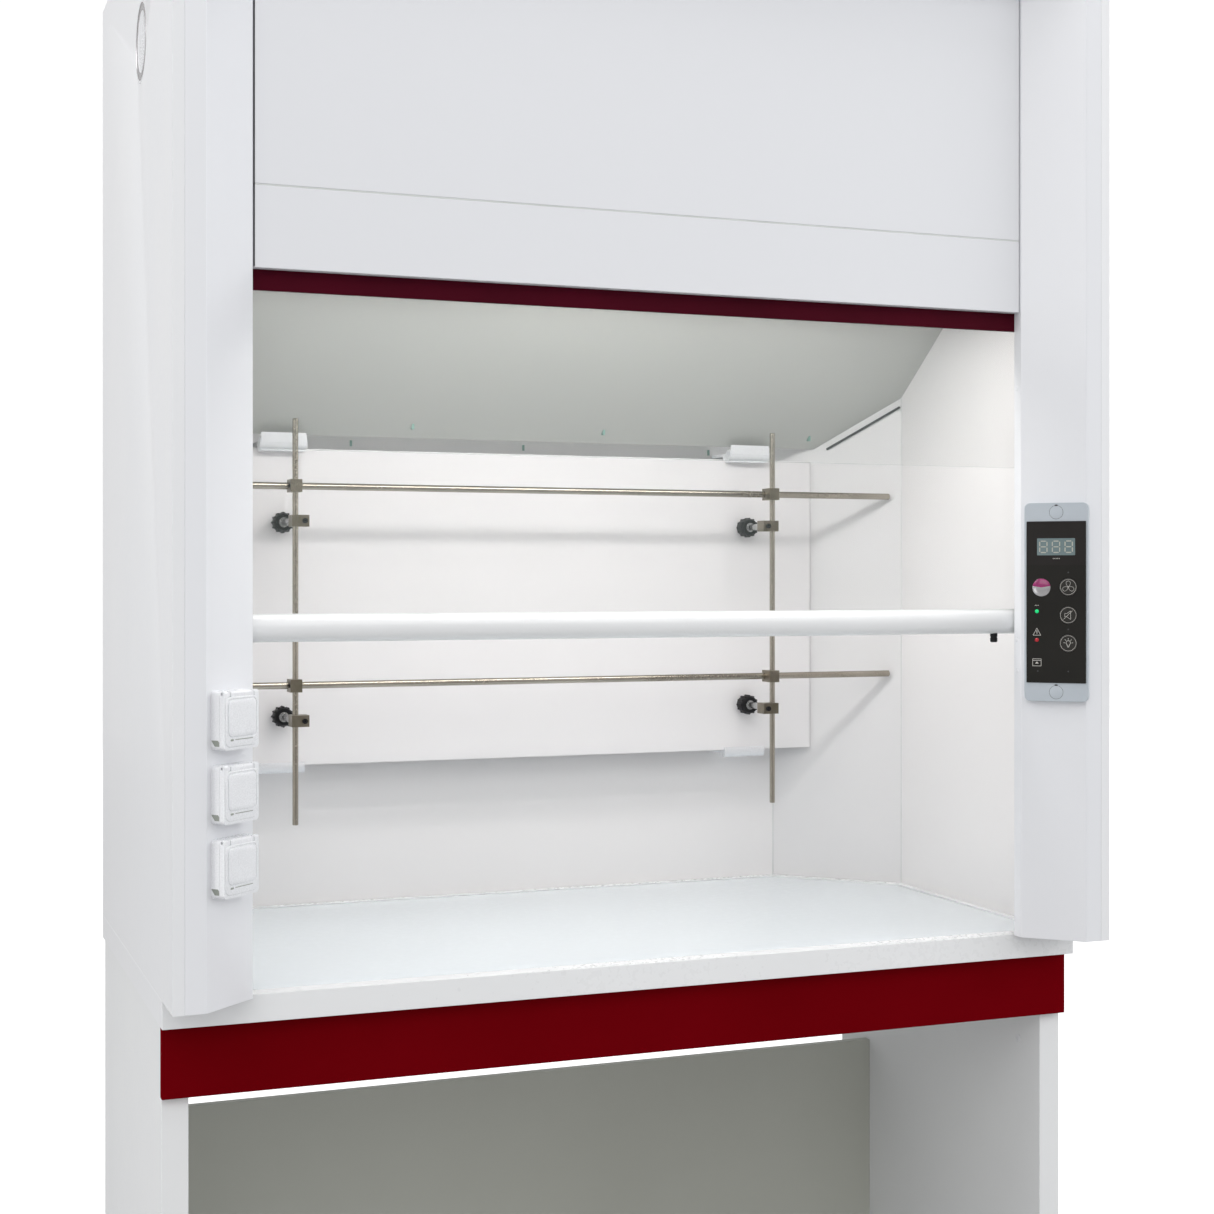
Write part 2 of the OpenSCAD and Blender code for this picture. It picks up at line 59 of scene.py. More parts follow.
def newGroup(name, inputs, outputs):
    tree = bpy.data.node_groups.new(name, "ShaderNodeTree")
    for label, kind, value in inputs:
        tree.interface.new_socket(label, in_out="INPUT", socket_type=kind).default_value = value
    for label, kind in outputs:
        tree.interface.new_socket(label, in_out="OUTPUT", socket_type=kind)
    return tree, tree.nodes.new("NodeGroupInput"), tree.nodes.new("NodeGroupOutput")


def addNode(tree, kind, links=(), **settings):
    node = tree.nodes.new(kind)
    for key, value in settings.items():
        setattr(node, key, value)
    for socket, source in links:
        if hasattr(source, "is_linked"):
            tree.links.new(source, node.inputs[socket])
        else:
            node.inputs[socket].default_value = source
    return node


def remap(tree, value, low, high, toLow, toHigh):
    return addNode(tree, "ShaderNodeMapRange", [("Value", value), ("From Min", low), ("From Max", high),
                                                ("To Min", toLow), ("To Max", toHigh)]).outputs["Result"]


# broad cloudy variation for colour and gloss, with a finer one for the relief
def makeVariation():
    tree, into, out = newGroup("surfaceVariation",
        [("Scale", "NodeSocketFloat", 6.0), ("Stretch", "NodeSocketVector", (1, 1, 1)),
        ("Fineness", "NodeSocketFloat", 40.0), ("Gloss Low", "NodeSocketFloat", 0.3),
        ("Gloss High", "NodeSocketFloat", 0.4)], [("Mask", "NodeSocketFloat"),
        ("Roughness", "NodeSocketFloat"), ("Height", "NodeSocketFloat")])
    place = addNode(tree, "ShaderNodeTexCoord")
    mapping = addNode(tree, "ShaderNodeMapping", [("Vector", place.outputs["Object"]),
        ("Scale", into.outputs["Stretch"])])
    broad = addNode(tree, "ShaderNodeTexNoise", [("Vector", mapping.outputs[0]),
        ("Scale", into.outputs["Scale"]), ("Detail", 4.0)])
    finer = addNode(tree, "ShaderNodeMath", [(0, into.outputs["Scale"]), (1, into.outputs["Fineness"])],
        operation="MULTIPLY")
    fine = addNode(tree, "ShaderNodeTexNoise", [("Vector", mapping.outputs[0]),
        ("Scale", finer.outputs[0]), ("Detail", 2.0)])
    tree.links.new(remap(tree, broad.outputs[0], 0.3, 0.7, 0.0, 1.0), out.inputs["Mask"])
    both = addNode(tree, "ShaderNodeMath", [(0, broad.outputs[0]), (1, fine.outputs[0])], operation="ADD")
    gloss = addNode(tree, "ShaderNodeMapRange", [("Value", both.outputs[0]), ("From Min", 0.7),
        ("From Max", 1.3), ("To Min", into.outputs["Gloss Low"]), ("To Max", into.outputs["Gloss High"])])
    tree.links.new(gloss.outputs[0], out.inputs["Roughness"])
    tree.links.new(fine.outputs[0], out.inputs["Height"])
    return tree


# settled dust on faces that look up
def makeDust():
    tree, into, out = newGroup("dustFilm", [("Amount", "NodeSocketFloat", 0.2)],
        [("Mask", "NodeSocketFloat")])
    up = addNode(tree, "ShaderNodeSeparateXYZ", [(0,
        addNode(tree, "ShaderNodeNewGeometry").outputs["Normal"])])
    facing = remap(tree, up.outputs["Z"], 0.6, 1.0, 0.0, 1.0)
    place = addNode(tree, "ShaderNodeTexCoord")
    speck = addNode(tree, "ShaderNodeTexNoise", [("Vector", place.outputs["Object"]), ("Scale", 55.0),
        ("Detail", 8.0)])
    patch = addNode(tree, "ShaderNodeTexNoise", [("Vector", place.outputs["Object"]), ("Scale", 3.0)])
    grains = remap(tree, speck.outputs[0], 0.4, 0.75, 0.0, 1.0)
    areas = remap(tree, patch.outputs[0], 0.35, 0.7, 0.1, 1.0)
    onTop = addNode(tree, "ShaderNodeMath", [(0, facing), (1, grains)], operation="MULTIPLY")
    patchy = addNode(tree, "ShaderNodeMath", [(0, onTop.outputs[0]), (1, areas)], operation="MULTIPLY")
    settled = addNode(tree, "ShaderNodeMath", [(0, patchy.outputs[0]), (1, into.outputs["Amount"])],
        operation="MULTIPLY")
    tree.links.new(settled.outputs[0], out.inputs["Mask"])
    return tree


variation, dust = makeVariation(), makeDust()
dustColour = (0.62, 0.60, 0.56, 1)

finishes = {
    "whiteBoard": dict(base=(0.82, 0.825, 0.84), deep=(0.79, 0.80, 0.82), rough=(0.30, 0.42), scale=2.5,
        bump=0.02, dust=0.04),
    "legBoard": dict(base=(0.81, 0.82, 0.825), deep=(0.78, 0.79, 0.80), rough=(0.34, 0.46), scale=2.5,
        bump=0.02),
    # the knee space's back panel: a white board made darker, painted shade under the worktop
    "kneeBoardPaintedShade": dict(base=(0.53, 0.54, 0.485), deep=(0.50, 0.51, 0.455), rough=(0.42, 0.55), scale=2.5,
        bump=0.03),
    "whiteSteel": dict(base=(0.80, 0.81, 0.84), deep=(0.79, 0.80, 0.83), rough=(0.14, 0.20), scale=3.0,
        fine=220, bump=0.01, coat=0.15),
    "fasciaBoard": dict(base=(0.785, 0.795, 0.825), deep=(0.775, 0.785, 0.815), rough=(0.28, 0.36),
        scale=1.2, bump=0.015),
    "worktopEdge": dict(base=(0.84, 0.85, 0.86), deep=(0.81, 0.82, 0.83), rough=(0.25, 0.35), scale=3.0,
        bump=0.02),
    "worktopGlass": dict(base=(0.80, 0.862, 0.905), deep=(0.785, 0.85, 0.892), rough=(0.10, 0.18),
        scale=2.0, bump=0.006, coat=0.5, dust=0.02),
    "deepRed": dict(base=(0.155, 0.001, 0.004), deep=(0.130, 0.0008, 0.003), rough=(0.42, 0.55),
        scale=3.0, fine=160, bump=0.02, specular=0.0),
    # the header rail's red, made darker than the apron's red: painted shade under the fascia's overhang
    "railRedPaintedShade": dict(base=(0.075, 0.003, 0.012), deep=(0.050, 0.003, 0.009), rough=(0.42, 0.55),
        scale=4.0, fine=160, bump=0.02, specular=0.03),
    "chamberWhite": dict(base=(0.845, 0.83, 0.83), deep=(0.825, 0.81, 0.81), rough=(0.30, 0.45),
        scale=2.2, bump=0.03, dust=0.1),
    # the corner panels: the chamber's white made darker, painted shade in the rear corners
    "cornerWhitePaintedShade": dict(base=(0.755, 0.747, 0.752), deep=(0.735, 0.727, 0.732), rough=(0.30, 0.45),
        scale=2.2, bump=0.02),
    "baffleWhite": dict(base=(0.82, 0.805, 0.812), deep=(0.80, 0.785, 0.792), rough=(0.32, 0.45),
        scale=2.2, bump=0.03, dust=0.1),
    "ceilingGrey": dict(base=(0.515, 0.518, 0.49), deep=(0.485, 0.488, 0.462), rough=(0.34, 0.48),
        scale=1.6, bump=0.03),
    "silicone": dict(base=(0.70, 0.72, 0.71), deep=(0.60, 0.62, 0.61), rough=(0.35, 0.55), scale=20.0,
        bump=0.06),
    "satinAluminium": dict(base=(0.62, 0.63, 0.64), deep=(0.54, 0.55, 0.56), rough=(0.24, 0.36),
        scale=3.0, stretch=(30, 30, 1), bump=0.04, metal=1.0),
    "rodSteel": dict(base=(0.45, 0.41, 0.35), deep=(0.30, 0.27, 0.225), rough=(0.16, 0.30), scale=8.0,
        bump=0.03, metal=1.0),
    "clampNickel": dict(base=(0.27, 0.24, 0.19), deep=(0.17, 0.15, 0.11), rough=(0.26, 0.42), scale=30.0,
        bump=0.10, metal=1.0),
    "brightSteel": dict(base=(0.60, 0.60, 0.60), deep=(0.48, 0.48, 0.48), rough=(0.20, 0.32), scale=14.0,
        bump=0.04, metal=1.0, dust=0.1),
    "screwZinc": dict(base=(0.58, 0.59, 0.60), deep=(0.44, 0.45, 0.46), rough=(0.28, 0.42), scale=60.0,
        bump=0.06, metal=1.0),
    "blackPlastic": dict(base=(0.012, 0.012, 0.014), deep=(0.006, 0.006, 0.007), rough=(0.40, 0.55),
        scale=24.0, bump=0.08, specular=0.25),
    "darkRubber": dict(base=(0.030, 0.030, 0.030), deep=(0.018, 0.018, 0.018), rough=(0.60, 0.80),
        scale=30.0, bump=0.15, dust=0.3),
    "pulleyGrey": dict(base=(0.20, 0.20, 0.21), deep=(0.15, 0.15, 0.16), rough=(0.40, 0.55), scale=26.0,
        bump=0.10),
    "castIron": dict(base=(0.085, 0.09, 0.095), deep=(0.050, 0.052, 0.055), rough=(0.45, 0.65),
        scale=18.0, bump=0.25, metal=0.6, dust=0.3),
    "whiteMoulding": dict(base=(0.79, 0.80, 0.825), deep=(0.775, 0.785, 0.81), rough=(0.22, 0.32),
        scale=9.0, fine=60, bump=0.03, coat=0.1),
    "handleWhite": dict(base=(0.82, 0.83, 0.84), deep=(0.80, 0.81, 0.82), rough=(0.20, 0.28), scale=5.0,
        fine=140, bump=0.02, coat=0.3),
    "outletGrey": dict(base=(0.36, 0.40, 0.44), deep=(0.32, 0.36, 0.40), rough=(0.34, 0.46), scale=20.0,
        bump=0.06),
    "housingGrey": dict(base=(0.475, 0.52, 0.565), deep=(0.45, 0.495, 0.54), rough=(0.34, 0.46),
        scale=14.0, fine=60, bump=0.08),
    "facePanel": dict(base=(0.018, 0.0172, 0.015), deep=(0.014, 0.0133, 0.0117), rough=(0.34, 0.46),
        scale=12.0, bump=0.03, specular=0.15),
    "facePanelDark": dict(base=(0.022, 0.020, 0.019), deep=(0.017, 0.015, 0.014), rough=(0.30, 0.40),
        scale=12.0, bump=0.02, specular=0.15),
    "keyFace": dict(base=(0.032, 0.031, 0.028), deep=(0.026, 0.025, 0.023), rough=(0.38, 0.50),
        scale=30.0, bump=0.06, specular=0.15),
    "printWhite": dict(base=(0.62, 0.60, 0.56), deep=(0.54, 0.52, 0.49), rough=(0.45, 0.60), scale=60.0,
        bump=0.03),
    "displayGlass": dict(base=(0.155, 0.215, 0.225), deep=(0.135, 0.19, 0.20), rough=(0.12, 0.20),
        scale=20.0, bump=0.02, coat=0.5),
    "digitBeige": dict(base=(0.40, 0.40, 0.34), deep=(0.36, 0.365, 0.31), rough=(0.40, 0.50), scale=50.0,
        bump=0.02, glow=((0.55, 0.56, 0.46), 0.03)),
    "ledGreen": dict(base=(0.0, 0.55, 0.16), deep=(0.0, 0.45, 0.12), rough=(0.15, 0.25), scale=60.0,
        bump=0.02, glow=((0.0, 0.70, 0.20), 0.35)),
    "ledRed": dict(base=(0.45, 0.015, 0.025), deep=(0.38, 0.01, 0.02), rough=(0.15, 0.25), scale=60.0,
        bump=0.02, glow=((0.80, 0.01, 0.02), 0.04)),
    "badgeMetal": dict(base=(0.55, 0.54, 0.55), deep=(0.42, 0.41, 0.42), rough=(0.18, 0.28), scale=40.0,
        bump=0.03, metal=0.7),
    "badgePlum": dict(base=(0.30, 0.012, 0.13), deep=(0.24, 0.008, 0.10), rough=(0.14, 0.22), scale=40.0,
        bump=0.02, coat=0.5),
    "clipGreen": dict(base=(0.28, 0.46, 0.40), deep=(0.22, 0.38, 0.33), rough=(0.25, 0.40), scale=60.0,
        bump=0.04),
    "diffuser": dict(base=(0.86, 0.86, 0.83), deep=(0.84, 0.84, 0.81), rough=(0.40, 0.50), scale=20.0,
        bump=0.06, glow=((1.0, 0.97, 0.93), 5.0)),
    "paneClear": dict(base=(0.52, 0.60, 0.57), deep=(0.50, 0.585, 0.555), rough=(0.02, 0.05), scale=3.0,
        bump=0.004, alpha=0.04),
    "paneEdge": dict(base=(0.50, 0.66, 0.60), deep=(0.42, 0.60, 0.54), rough=(0.10, 0.20), scale=30.0,
        bump=0.02, alpha=0.55),
    "shadeGrey": dict(base=(0.30, 0.32, 0.29), deep=(0.25, 0.27, 0.24), rough=(0.50, 0.65), scale=40.0,
        bump=0.05),
    "gapShadow": dict(base=(0.05, 0.05, 0.055), deep=(0.04, 0.04, 0.045), rough=(0.60, 0.80), scale=20.0,
        bump=0.05),
}


def makeFinish(name):
    recipe = finishes[name]
    mat = bpy.data.materials.new(name)
    mat.use_nodes = True
    tree = mat.node_tree
    shader = tree.nodes["Principled BSDF"]
    cloud = addNode(tree, "ShaderNodeGroup", node_tree=variation)
    cloud.inputs["Scale"].default_value = recipe["scale"]
    cloud.inputs["Fineness"].default_value = recipe.get("fine", 40)
    cloud.inputs["Stretch"].default_value = recipe.get("stretch", (1, 1, 1))
    cloud.inputs["Gloss Low"].default_value, cloud.inputs["Gloss High"].default_value = recipe["rough"]
    tint = addNode(tree, "ShaderNodeMix", [("Factor", cloud.outputs["Mask"])], data_type="RGBA")
    tint.inputs["A"].default_value = (*recipe["base"], 1)
    tint.inputs["B"].default_value = (*recipe["deep"], 1)
    colour = tint.outputs["Result"]
    if "dust" in recipe:
        film = addNode(tree, "ShaderNodeGroup", node_tree=dust)
        film.inputs["Amount"].default_value = recipe["dust"]
        dusty = addNode(tree, "ShaderNodeMix", [("Factor", film.outputs["Mask"]), ("A", colour)],
            data_type="RGBA")
        dusty.inputs["B"].default_value = dustColour
        colour = dusty.outputs["Result"]
    tree.links.new(colour, shader.inputs["Base Color"])
    tree.links.new(cloud.outputs["Roughness"], shader.inputs["Roughness"])
    relief = addNode(tree, "ShaderNodeBump", [("Height", cloud.outputs["Height"]),
        ("Strength", recipe["bump"]), ("Distance", 0.001)])
    tree.links.new(relief.outputs[0], shader.inputs["Normal"])
    shader.inputs["Metallic"].default_value = recipe.get("metal", 0.0)
    shader.inputs["Coat Weight"].default_value = recipe.get("coat", 0.0)
    shader.inputs["Coat Roughness"].default_value = 0.06
    shader.inputs["Specular IOR Level"].default_value = recipe.get("specular", 0.5)
    shader.inputs["Alpha"].default_value = recipe.get("alpha", 1.0)
    if "glow" in recipe:
        shader.inputs["Emission Color"].default_value = (*recipe["glow"][0], 1)
        shader.inputs["Emission Strength"].default_value = recipe["glow"][1]
    return mat


materials = {name: makeFinish(name) for name in finishes}
print("finishes ready:", len(materials))


class Shape:
    def __init__(self, *finishNames):
        self.bm = bmesh.new()
        self.finishNames = finishNames

    def faces(self, verts, loops, finish=0):
        made = [self.bm.verts.new(v) for v in verts]
        for loop in loops:
            self.bm.faces.new([made[i] for i in loop]).material_index = finish
        return made

    def box(self, lo, hi, finish=0):
        x, y, z = zip(lo, hi)
        verts = [(x[i], y[j], z[k]) for k in (0, 1) for j in (0, 1) for i in (0, 1)]
        return self.faces(verts, [(0, 2, 3, 1), (4, 5, 7, 6), (0, 1, 5, 4), (2, 6, 7, 3), (0, 4, 6, 2),
            (1, 3, 7, 5)], finish)

    # a flat outline pushed along one axis: its points are (x, y) for "z", (x, z) for "y" and (y, z) for "x"
    def prism(self, outline, low, high, axis="z", finish=0):
        n = len(outline)
        put = {"z": lambda p, h: (p[0], p[1], h), "y": lambda p, h: (p[0], h, p[1]), "x": lambda p,
            h: (h, p[0], p[1])}[axis]
        verts = [put(p, low) for p in outline] + [put(p, high) for p in outline]
        loops = [tuple(range(n)), tuple(range(n, 2 * n))]
        loops += [(i, (i + 1) % n, n + (i + 1) % n, n + i) for i in range(n)]
        return self.faces(verts, loops, finish)

    # (radius, height) points turned round an axis; a profile that starts and ends on the axis closes itself
    def turned(self, profile, centre, axis, steps=40, closed=False, finish=0, span=None):
        turn = Vector((0, 0, 1)).rotation_difference(Vector(axis)).to_matrix()
        rows = []
        for radius, height in profile:
            if radius < 1e-6:
                rows.append([self.bm.verts.new(Vector(centre) + turn @ Vector((0, 0, height)))])
                continue
            rows.append([self.bm.verts.new(Vector(centre)
                + turn @ Vector((radius * math.cos(2 * math.pi * i / steps),
                radius * math.sin(2 * math.pi * i / steps), height))) for i in range(steps)])
        pairs = list(zip(rows, rows[1:])) + ([(rows[-1], rows[0])] if closed else [])
        for index, (a, b) in enumerate(pairs):
            use = finish if span is None else span[index]
            for i in range(steps):
                j = (i + 1) % steps
                loop = [a[i % len(a)], a[j % len(a)], b[j % len(b)], b[i % len(b)]]
                loop = [v for k, v in enumerate(loop) if v not in loop[:k]]
                if len(loop) > 2:
                    self.bm.faces.new(loop).material_index = use

    # a round bar through a list of points
    def bar(self, points, radius, steps=16, finish=0, ends=True):
        points = [Vector(p) for p in points]
        rings = []
        side = None
        for i, p in enumerate(points):
            ahead = (points[min(i + 1, len(points) - 1)] - points[max(i - 1, 0)]).normalized()
            side = ahead.orthogonal().normalized() if side is None else (side
                - ahead * side.dot(ahead)).normalized()
            up = ahead.cross(side)
            rings.append([self.bm.verts.new(p + radius * (math.cos(2 * math.pi * k / steps) * side
                + math.sin(2 * math.pi * k / steps) * up)) for k in range(steps)])
        for a, b in zip(rings, rings[1:]):
            for k in range(steps):
                self.bm.faces.new((a[k], a[(k + 1) % steps], b[(k + 1) % steps],
                    b[k])).material_index = finish
        if ends:
            for ring in (rings[0], rings[-1]):
                self.bm.faces.new(ring).material_index = finish

    # one straight printed line on a face that looks along y
    def stroke(self, a, b, width, low, high, finish=0):
        a, b = Vector(a), Vector(b)
        side = (b - a).orthogonal().normalized() * width / 2
        self.prism([a + side, b + side, b - side, a - side], low, high, "y", finish)

    def strokes(self, points, width, low, high, finish=0):
        for a, b in zip(points, points[1:]):
            self.stroke(a, b, width, low, high, finish)

    def done(self, name, body, replaces=(), place=None, soft=0.0, segments=2, smooth=30):
        if place is not None:
            bmesh.ops.transform(self.bm, matrix=place, verts=self.bm.verts)
        bmesh.ops.transform(self.bm, matrix=toFrame, verts=self.bm.verts)
        bmesh.ops.recalc_face_normals(self.bm, faces=self.bm.faces)
        mesh = bpy.data.meshes.new(name)
        self.bm.to_mesh(mesh)
        self.bm.free()
        return finishPiece(name, mesh, self.finishNames, body, replaces, soft, segments, smooth)


def finishPiece(name, mesh, finishNames, body, replaces=(), soft=0.0, segments=2, smooth=30):
    for finish in finishNames:
        mesh.materials.append(materials[finish])
    for face in mesh.polygons:
        face.use_smooth = True
    mesh.set_sharp_from_angle(angle=math.radians(smooth))
    piece = bpy.data.objects.new(name, mesh)
    bpy.context.scene.collection.objects.link(piece)
    if soft:
        bevel = piece.modifiers.new("softEdge", "BEVEL")
        bevel.width, bevel.segments = soft * 0.001, segments
        bevel.limit_method, bevel.angle_limit = "ANGLE", math.radians(32)
        bevel.harden_normals = True
    if replaces:
        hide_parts(*replaces)
    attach(piece, body)
    return piece


# the CAD node's own shape with its loose triangles joined, its flats made whole and its edges eased
def eased(node, finish, soft=0.8, segments=2):
    bm = bmesh.new()
    bm.from_mesh(nodes[node].data)
    bmesh.ops.remove_doubles(bm, verts=bm.verts, dist=1e-6)
    bmesh.ops.dissolve_limit(bm, angle_limit=math.radians(0.6), verts=bm.verts, edges=bm.edges)
    mesh = bpy.data.meshes.new(node)
    bm.to_mesh(mesh)
    bm.free()
    return finishPiece(node.replace("_", "-"), mesh, [finish], bodyOf[node], [node], soft,
        segments)


def finishNode(node, finish):
    data = nodes[node].data
    data.materials.clear()
    data.materials.append(materials[finish])


def rounded(width, height, radius, x=0.0, z=0.0, steps=6):
    points = []
    for cx, cz, start in ((1, 1, 0), (-1, 1, 90), (-1, -1, 180), (1, -1, 270)):
        for i in range(steps + 1):
            turn = math.radians(start + 90 * i / steps)
            points.append((x + cx * (width / 2 - radius) + radius * math.cos(turn),
                           z + cz * (height / 2 - radius) + radius * math.sin(turn)))
    return points


def newTree(name, inputs):
    tree = bpy.data.node_groups.new(name, "GeometryNodeTree")
    tree.interface.new_socket("Geometry", in_out="INPUT", socket_type="NodeSocketGeometry")
    for label, kind in inputs:
        tree.interface.new_socket(label, in_out="INPUT", socket_type=kind)
    tree.interface.new_socket("Geometry", in_out="OUTPUT", socket_type="NodeSocketGeometry")
    return tree, tree.nodes.new("NodeGroupInput"), tree.nodes.new("NodeGroupOutput")


def placeOnPoints(tree, into, out, shape):
    aim = addNode(tree, "GeometryNodeInputNamedAttribute", [("Name", "aim")], data_type="FLOAT_VECTOR")
    turn = addNode(tree, "FunctionNodeAlignRotationToVector", [("Vector", aim.outputs["Attribute"])],
        axis="Z")
    copies = addNode(tree, "GeometryNodeInstanceOnPoints",
        [("Points", into.outputs["Geometry"]), ("Instance", shape), ("Rotation", turn.outputs[0])])
    real = addNode(tree, "GeometryNodeRealizeInstances", [("Geometry", copies.outputs[0])])
    dressed = addNode(tree, "GeometryNodeSetMaterial",
        [("Geometry", real.outputs[0]), ("Material", into.outputs["Finish"])])
    tree.links.new(dressed.outputs[0], out.inputs[0])


# a round screw head with a sunk drive
def makeScrewTree():
    tree, into, out = newTree("screwHeads", [("Head Radius", "NodeSocketFloat"),
        ("Head Height", "NodeSocketFloat"), ("Drive Depth", "NodeSocketFloat"),
        ("Finish", "NodeSocketMaterial")])
    head = addNode(tree, "GeometryNodeMeshCylinder",
        [("Vertices", 16), ("Radius", into.outputs["Head Radius"]), ("Depth", into.outputs["Head Height"])])
    faceUp = addNode(tree, "ShaderNodeSeparateXYZ",
        [(0, addNode(tree, "GeometryNodeInputNormal").outputs[0])])
    top = addNode(tree, "FunctionNodeCompare", [("A", faceUp.outputs["Z"]), ("B", 0.9)],
        data_type="FLOAT", operation="GREATER_THAN")
    crown = addNode(tree, "GeometryNodeExtrudeMesh",
        [("Mesh", head.outputs[0]), ("Selection", top.outputs[0]), ("Offset Scale", 0.0004)])
    narrowed = addNode(tree, "GeometryNodeScaleElements",
        [("Geometry", crown.outputs[0]), ("Selection", crown.outputs["Top"]), ("Scale", 0.86)])
    lip = addNode(tree, "GeometryNodeExtrudeMesh",
        [("Mesh", narrowed.outputs[0]), ("Selection", crown.outputs["Top"]), ("Offset Scale", 0.0)])
    inner = addNode(tree, "GeometryNodeScaleElements",
        [("Geometry", lip.outputs[0]), ("Selection", lip.outputs["Top"]), ("Scale", 0.5)])
    drive = addNode(tree, "GeometryNodeExtrudeMesh",
        [("Mesh", inner.outputs[0]), ("Selection", lip.outputs["Top"]),
        ("Offset Scale", into.outputs["Drive Depth"])])
    placeOnPoints(tree, into, out, drive.outputs[0])
    return tree


# short round ribs, for grips and belt teeth
def makeRibTree():
    tree, into, out = newTree("roundRibs", [("Rib Radius", "NodeSocketFloat"),
        ("Rib Length", "NodeSocketFloat"), ("Finish", "NodeSocketMaterial")])
    rib = addNode(tree, "GeometryNodeMeshCylinder",
        [("Vertices", 8), ("Radius", into.outputs["Rib Radius"]), ("Depth", into.outputs["Rib Length"])])
    placeOnPoints(tree, into, out, rib.outputs[0])
    return tree


screwTree, ribTree = makeScrewTree(), makeRibTree()


def repeat(name, tree, places, values, finish, body):
    mesh = bpy.data.meshes.new(name)
    mesh.from_pydata([toFrame @ Vector(p) for p, aim in places], [], [])
    aim = mesh.attributes.new("aim", "FLOAT_VECTOR", "POINT")
    for i, (p, direction) in enumerate(places):
        aim.data[i].vector = Vector(direction).normalized()
    piece = bpy.data.objects.new(name, mesh)
    bpy.context.scene.collection.objects.link(piece)
    modifier = piece.modifiers.new(name, "NODES")
    modifier.node_group = tree
    sockets = {item.name: item.identifier for item in tree.interface.items_tree if item.in_out == "INPUT"}
    for label, value in values.items():
        modifier[sockets[label]] = value * 0.001
    modifier[sockets["Finish"]] = materials[finish]
    made = bpy.data.meshes.new_from_object(piece.evaluated_get(bpy.context.evaluated_depsgraph_get()))
    piece.modifiers.clear()
    piece.data = made
    made.set_sharp_from_angle(angle=math.radians(35))
    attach(piece, body)
    return piece


def screws(name, places, radius=4.0, height=1.6, body="cabinet", finish="screwZinc"):
    return repeat(name, screwTree, places, {"Head Radius": radius, "Head Height": height,
        "Drive Depth": -height * 0.6}, finish, body)


# where things on a column's bevel go: x inward along it, y out of it, z up
def onBevel(side):
    c, s = math.cos(bevelTurn), math.sin(bevelTurn)
    place = Matrix(((-c, -s, 0, bevel["foldX"]), (s, -c, 0, bevel["foldY"]), (0, 0, 1, 0), (0, 0, 0, 1)))
    return place if side > 0 else Matrix.Diagonal((-1, 1, 1, 1)) @ place


print("helpers ready")

view = dict(place=(-0.75 - 0.37153, -2.67644, 1.48573), turn=-21.13, lens=56.146, rise=-0.02222)
cameraData = bpy.data.cameras.new("camera")
camera = bpy.data.objects.new("camera", cameraData)
bpy.context.scene.collection.objects.link(camera)
bpy.context.scene.camera = camera
camera.location = (view["place"][0], view["place"][1] + frontEdge, view["place"][2])
camera.rotation_euler = (math.radians(90), 0, math.radians(view["turn"]))
cameraData.sensor_width, cameraData.lens, cameraData.shift_y = 36, view["lens"], view["rise"]
bpy.context.scene.view_settings.view_transform = "Standard"

lights = {
    "key": dict(place=(-3.4, -4.8, 4.4), aim=(0, 0, 1.4), size=(4.0, 4.0), power=82,
        colour=(1.0, 0.99, 0.98)),
    "fill": dict(place=(4.9, -2.8, 2.8), aim=(0, 0, 1.2), size=(3.2, 4.0), power=104,
        colour=(0.98, 0.99, 1.0)),
    "front": dict(place=(0.4, -5.0, 4.8), aim=(0, 0, 1.0), size=(4.0, 2.0), power=26, colour=(1, 1, 1)),
    "top": dict(place=(0, -0.9, 5.6), aim=(0, 0, 1.0), size=(4.5, 3.0), power=42, colour=(1, 1, 1)),
    "side": dict(place=(-3.4, -0.2, 3.8), aim=(-0.75, 0, 2.4), size=(1.8, 1.8), power=38,
        colour=(1.0, 0.995, 1.0)),
    "lowSide": dict(place=(-3.6, -0.6, 0.5), aim=(-0.75, 0, 0.3), size=(2.4, 0.9), power=17,
        colour=(1, 1, 1)),
    "lamp": dict(place=(0, frontEdge + 0.085, 1.975), aim=(0, frontEdge + 0.26, 1.0), size=(1.16, 0.06),
        power=2.2, colour=(1.0, 0.985, 0.965)),
    "lampSoft": dict(place=(0, frontEdge + 0.20, 1.93), aim=(0, frontEdge + 0.34, 1.0), size=(1.1, 0.24),
        power=1.7, colour=(1.0, 0.985, 0.965)),
    "ceilingGlow": dict(place=(0, frontEdge + 0.13, 1.90), aim=(0, frontEdge + 0.27, 2.02),
        size=(0.30, 0.05), power=0.30, colour=(1.0, 0.99, 0.97)),
    "slot": dict(place=(0, frontEdge + 0.695, 1.95), aim=(0, frontEdge + 0.70, 1.7), size=(1.1, 0.03),
        power=1.1, colour=(1, 1, 1)),
}
for name, spec in lights.items():
    data = bpy.data.lights.new(name, "AREA")
    data.shape, data.size, data.size_y = "RECTANGLE", *spec["size"]
    data.energy, data.color = spec["power"], spec["colour"]
    light = bpy.data.objects.new(name, data)
    light.location = spec["place"]
    light.rotation_euler = (Vector(spec["aim"]) - Vector(spec["place"])).to_track_quat("-Z", "Y").to_euler()
    light.visible_camera = False
    bpy.context.scene.collection.objects.link(light)

world = bpy.data.worlds.new("studio")
bpy.context.scene.world = world
world.use_nodes = True
sky = world.node_tree.nodes["Background"]
sky.inputs["Color"].default_value = (1, 1, 1, 1)
path = addNode(world.node_tree, "ShaderNodeLightPath")
strength = addNode(world.node_tree, "ShaderNodeMapRange",
    [("Value", path.outputs["Is Camera Ray"]), ("To Min", 0.59), ("To Max", 1.05)])
world.node_tree.links.new(strength.outputs[0], sky.inputs["Strength"])

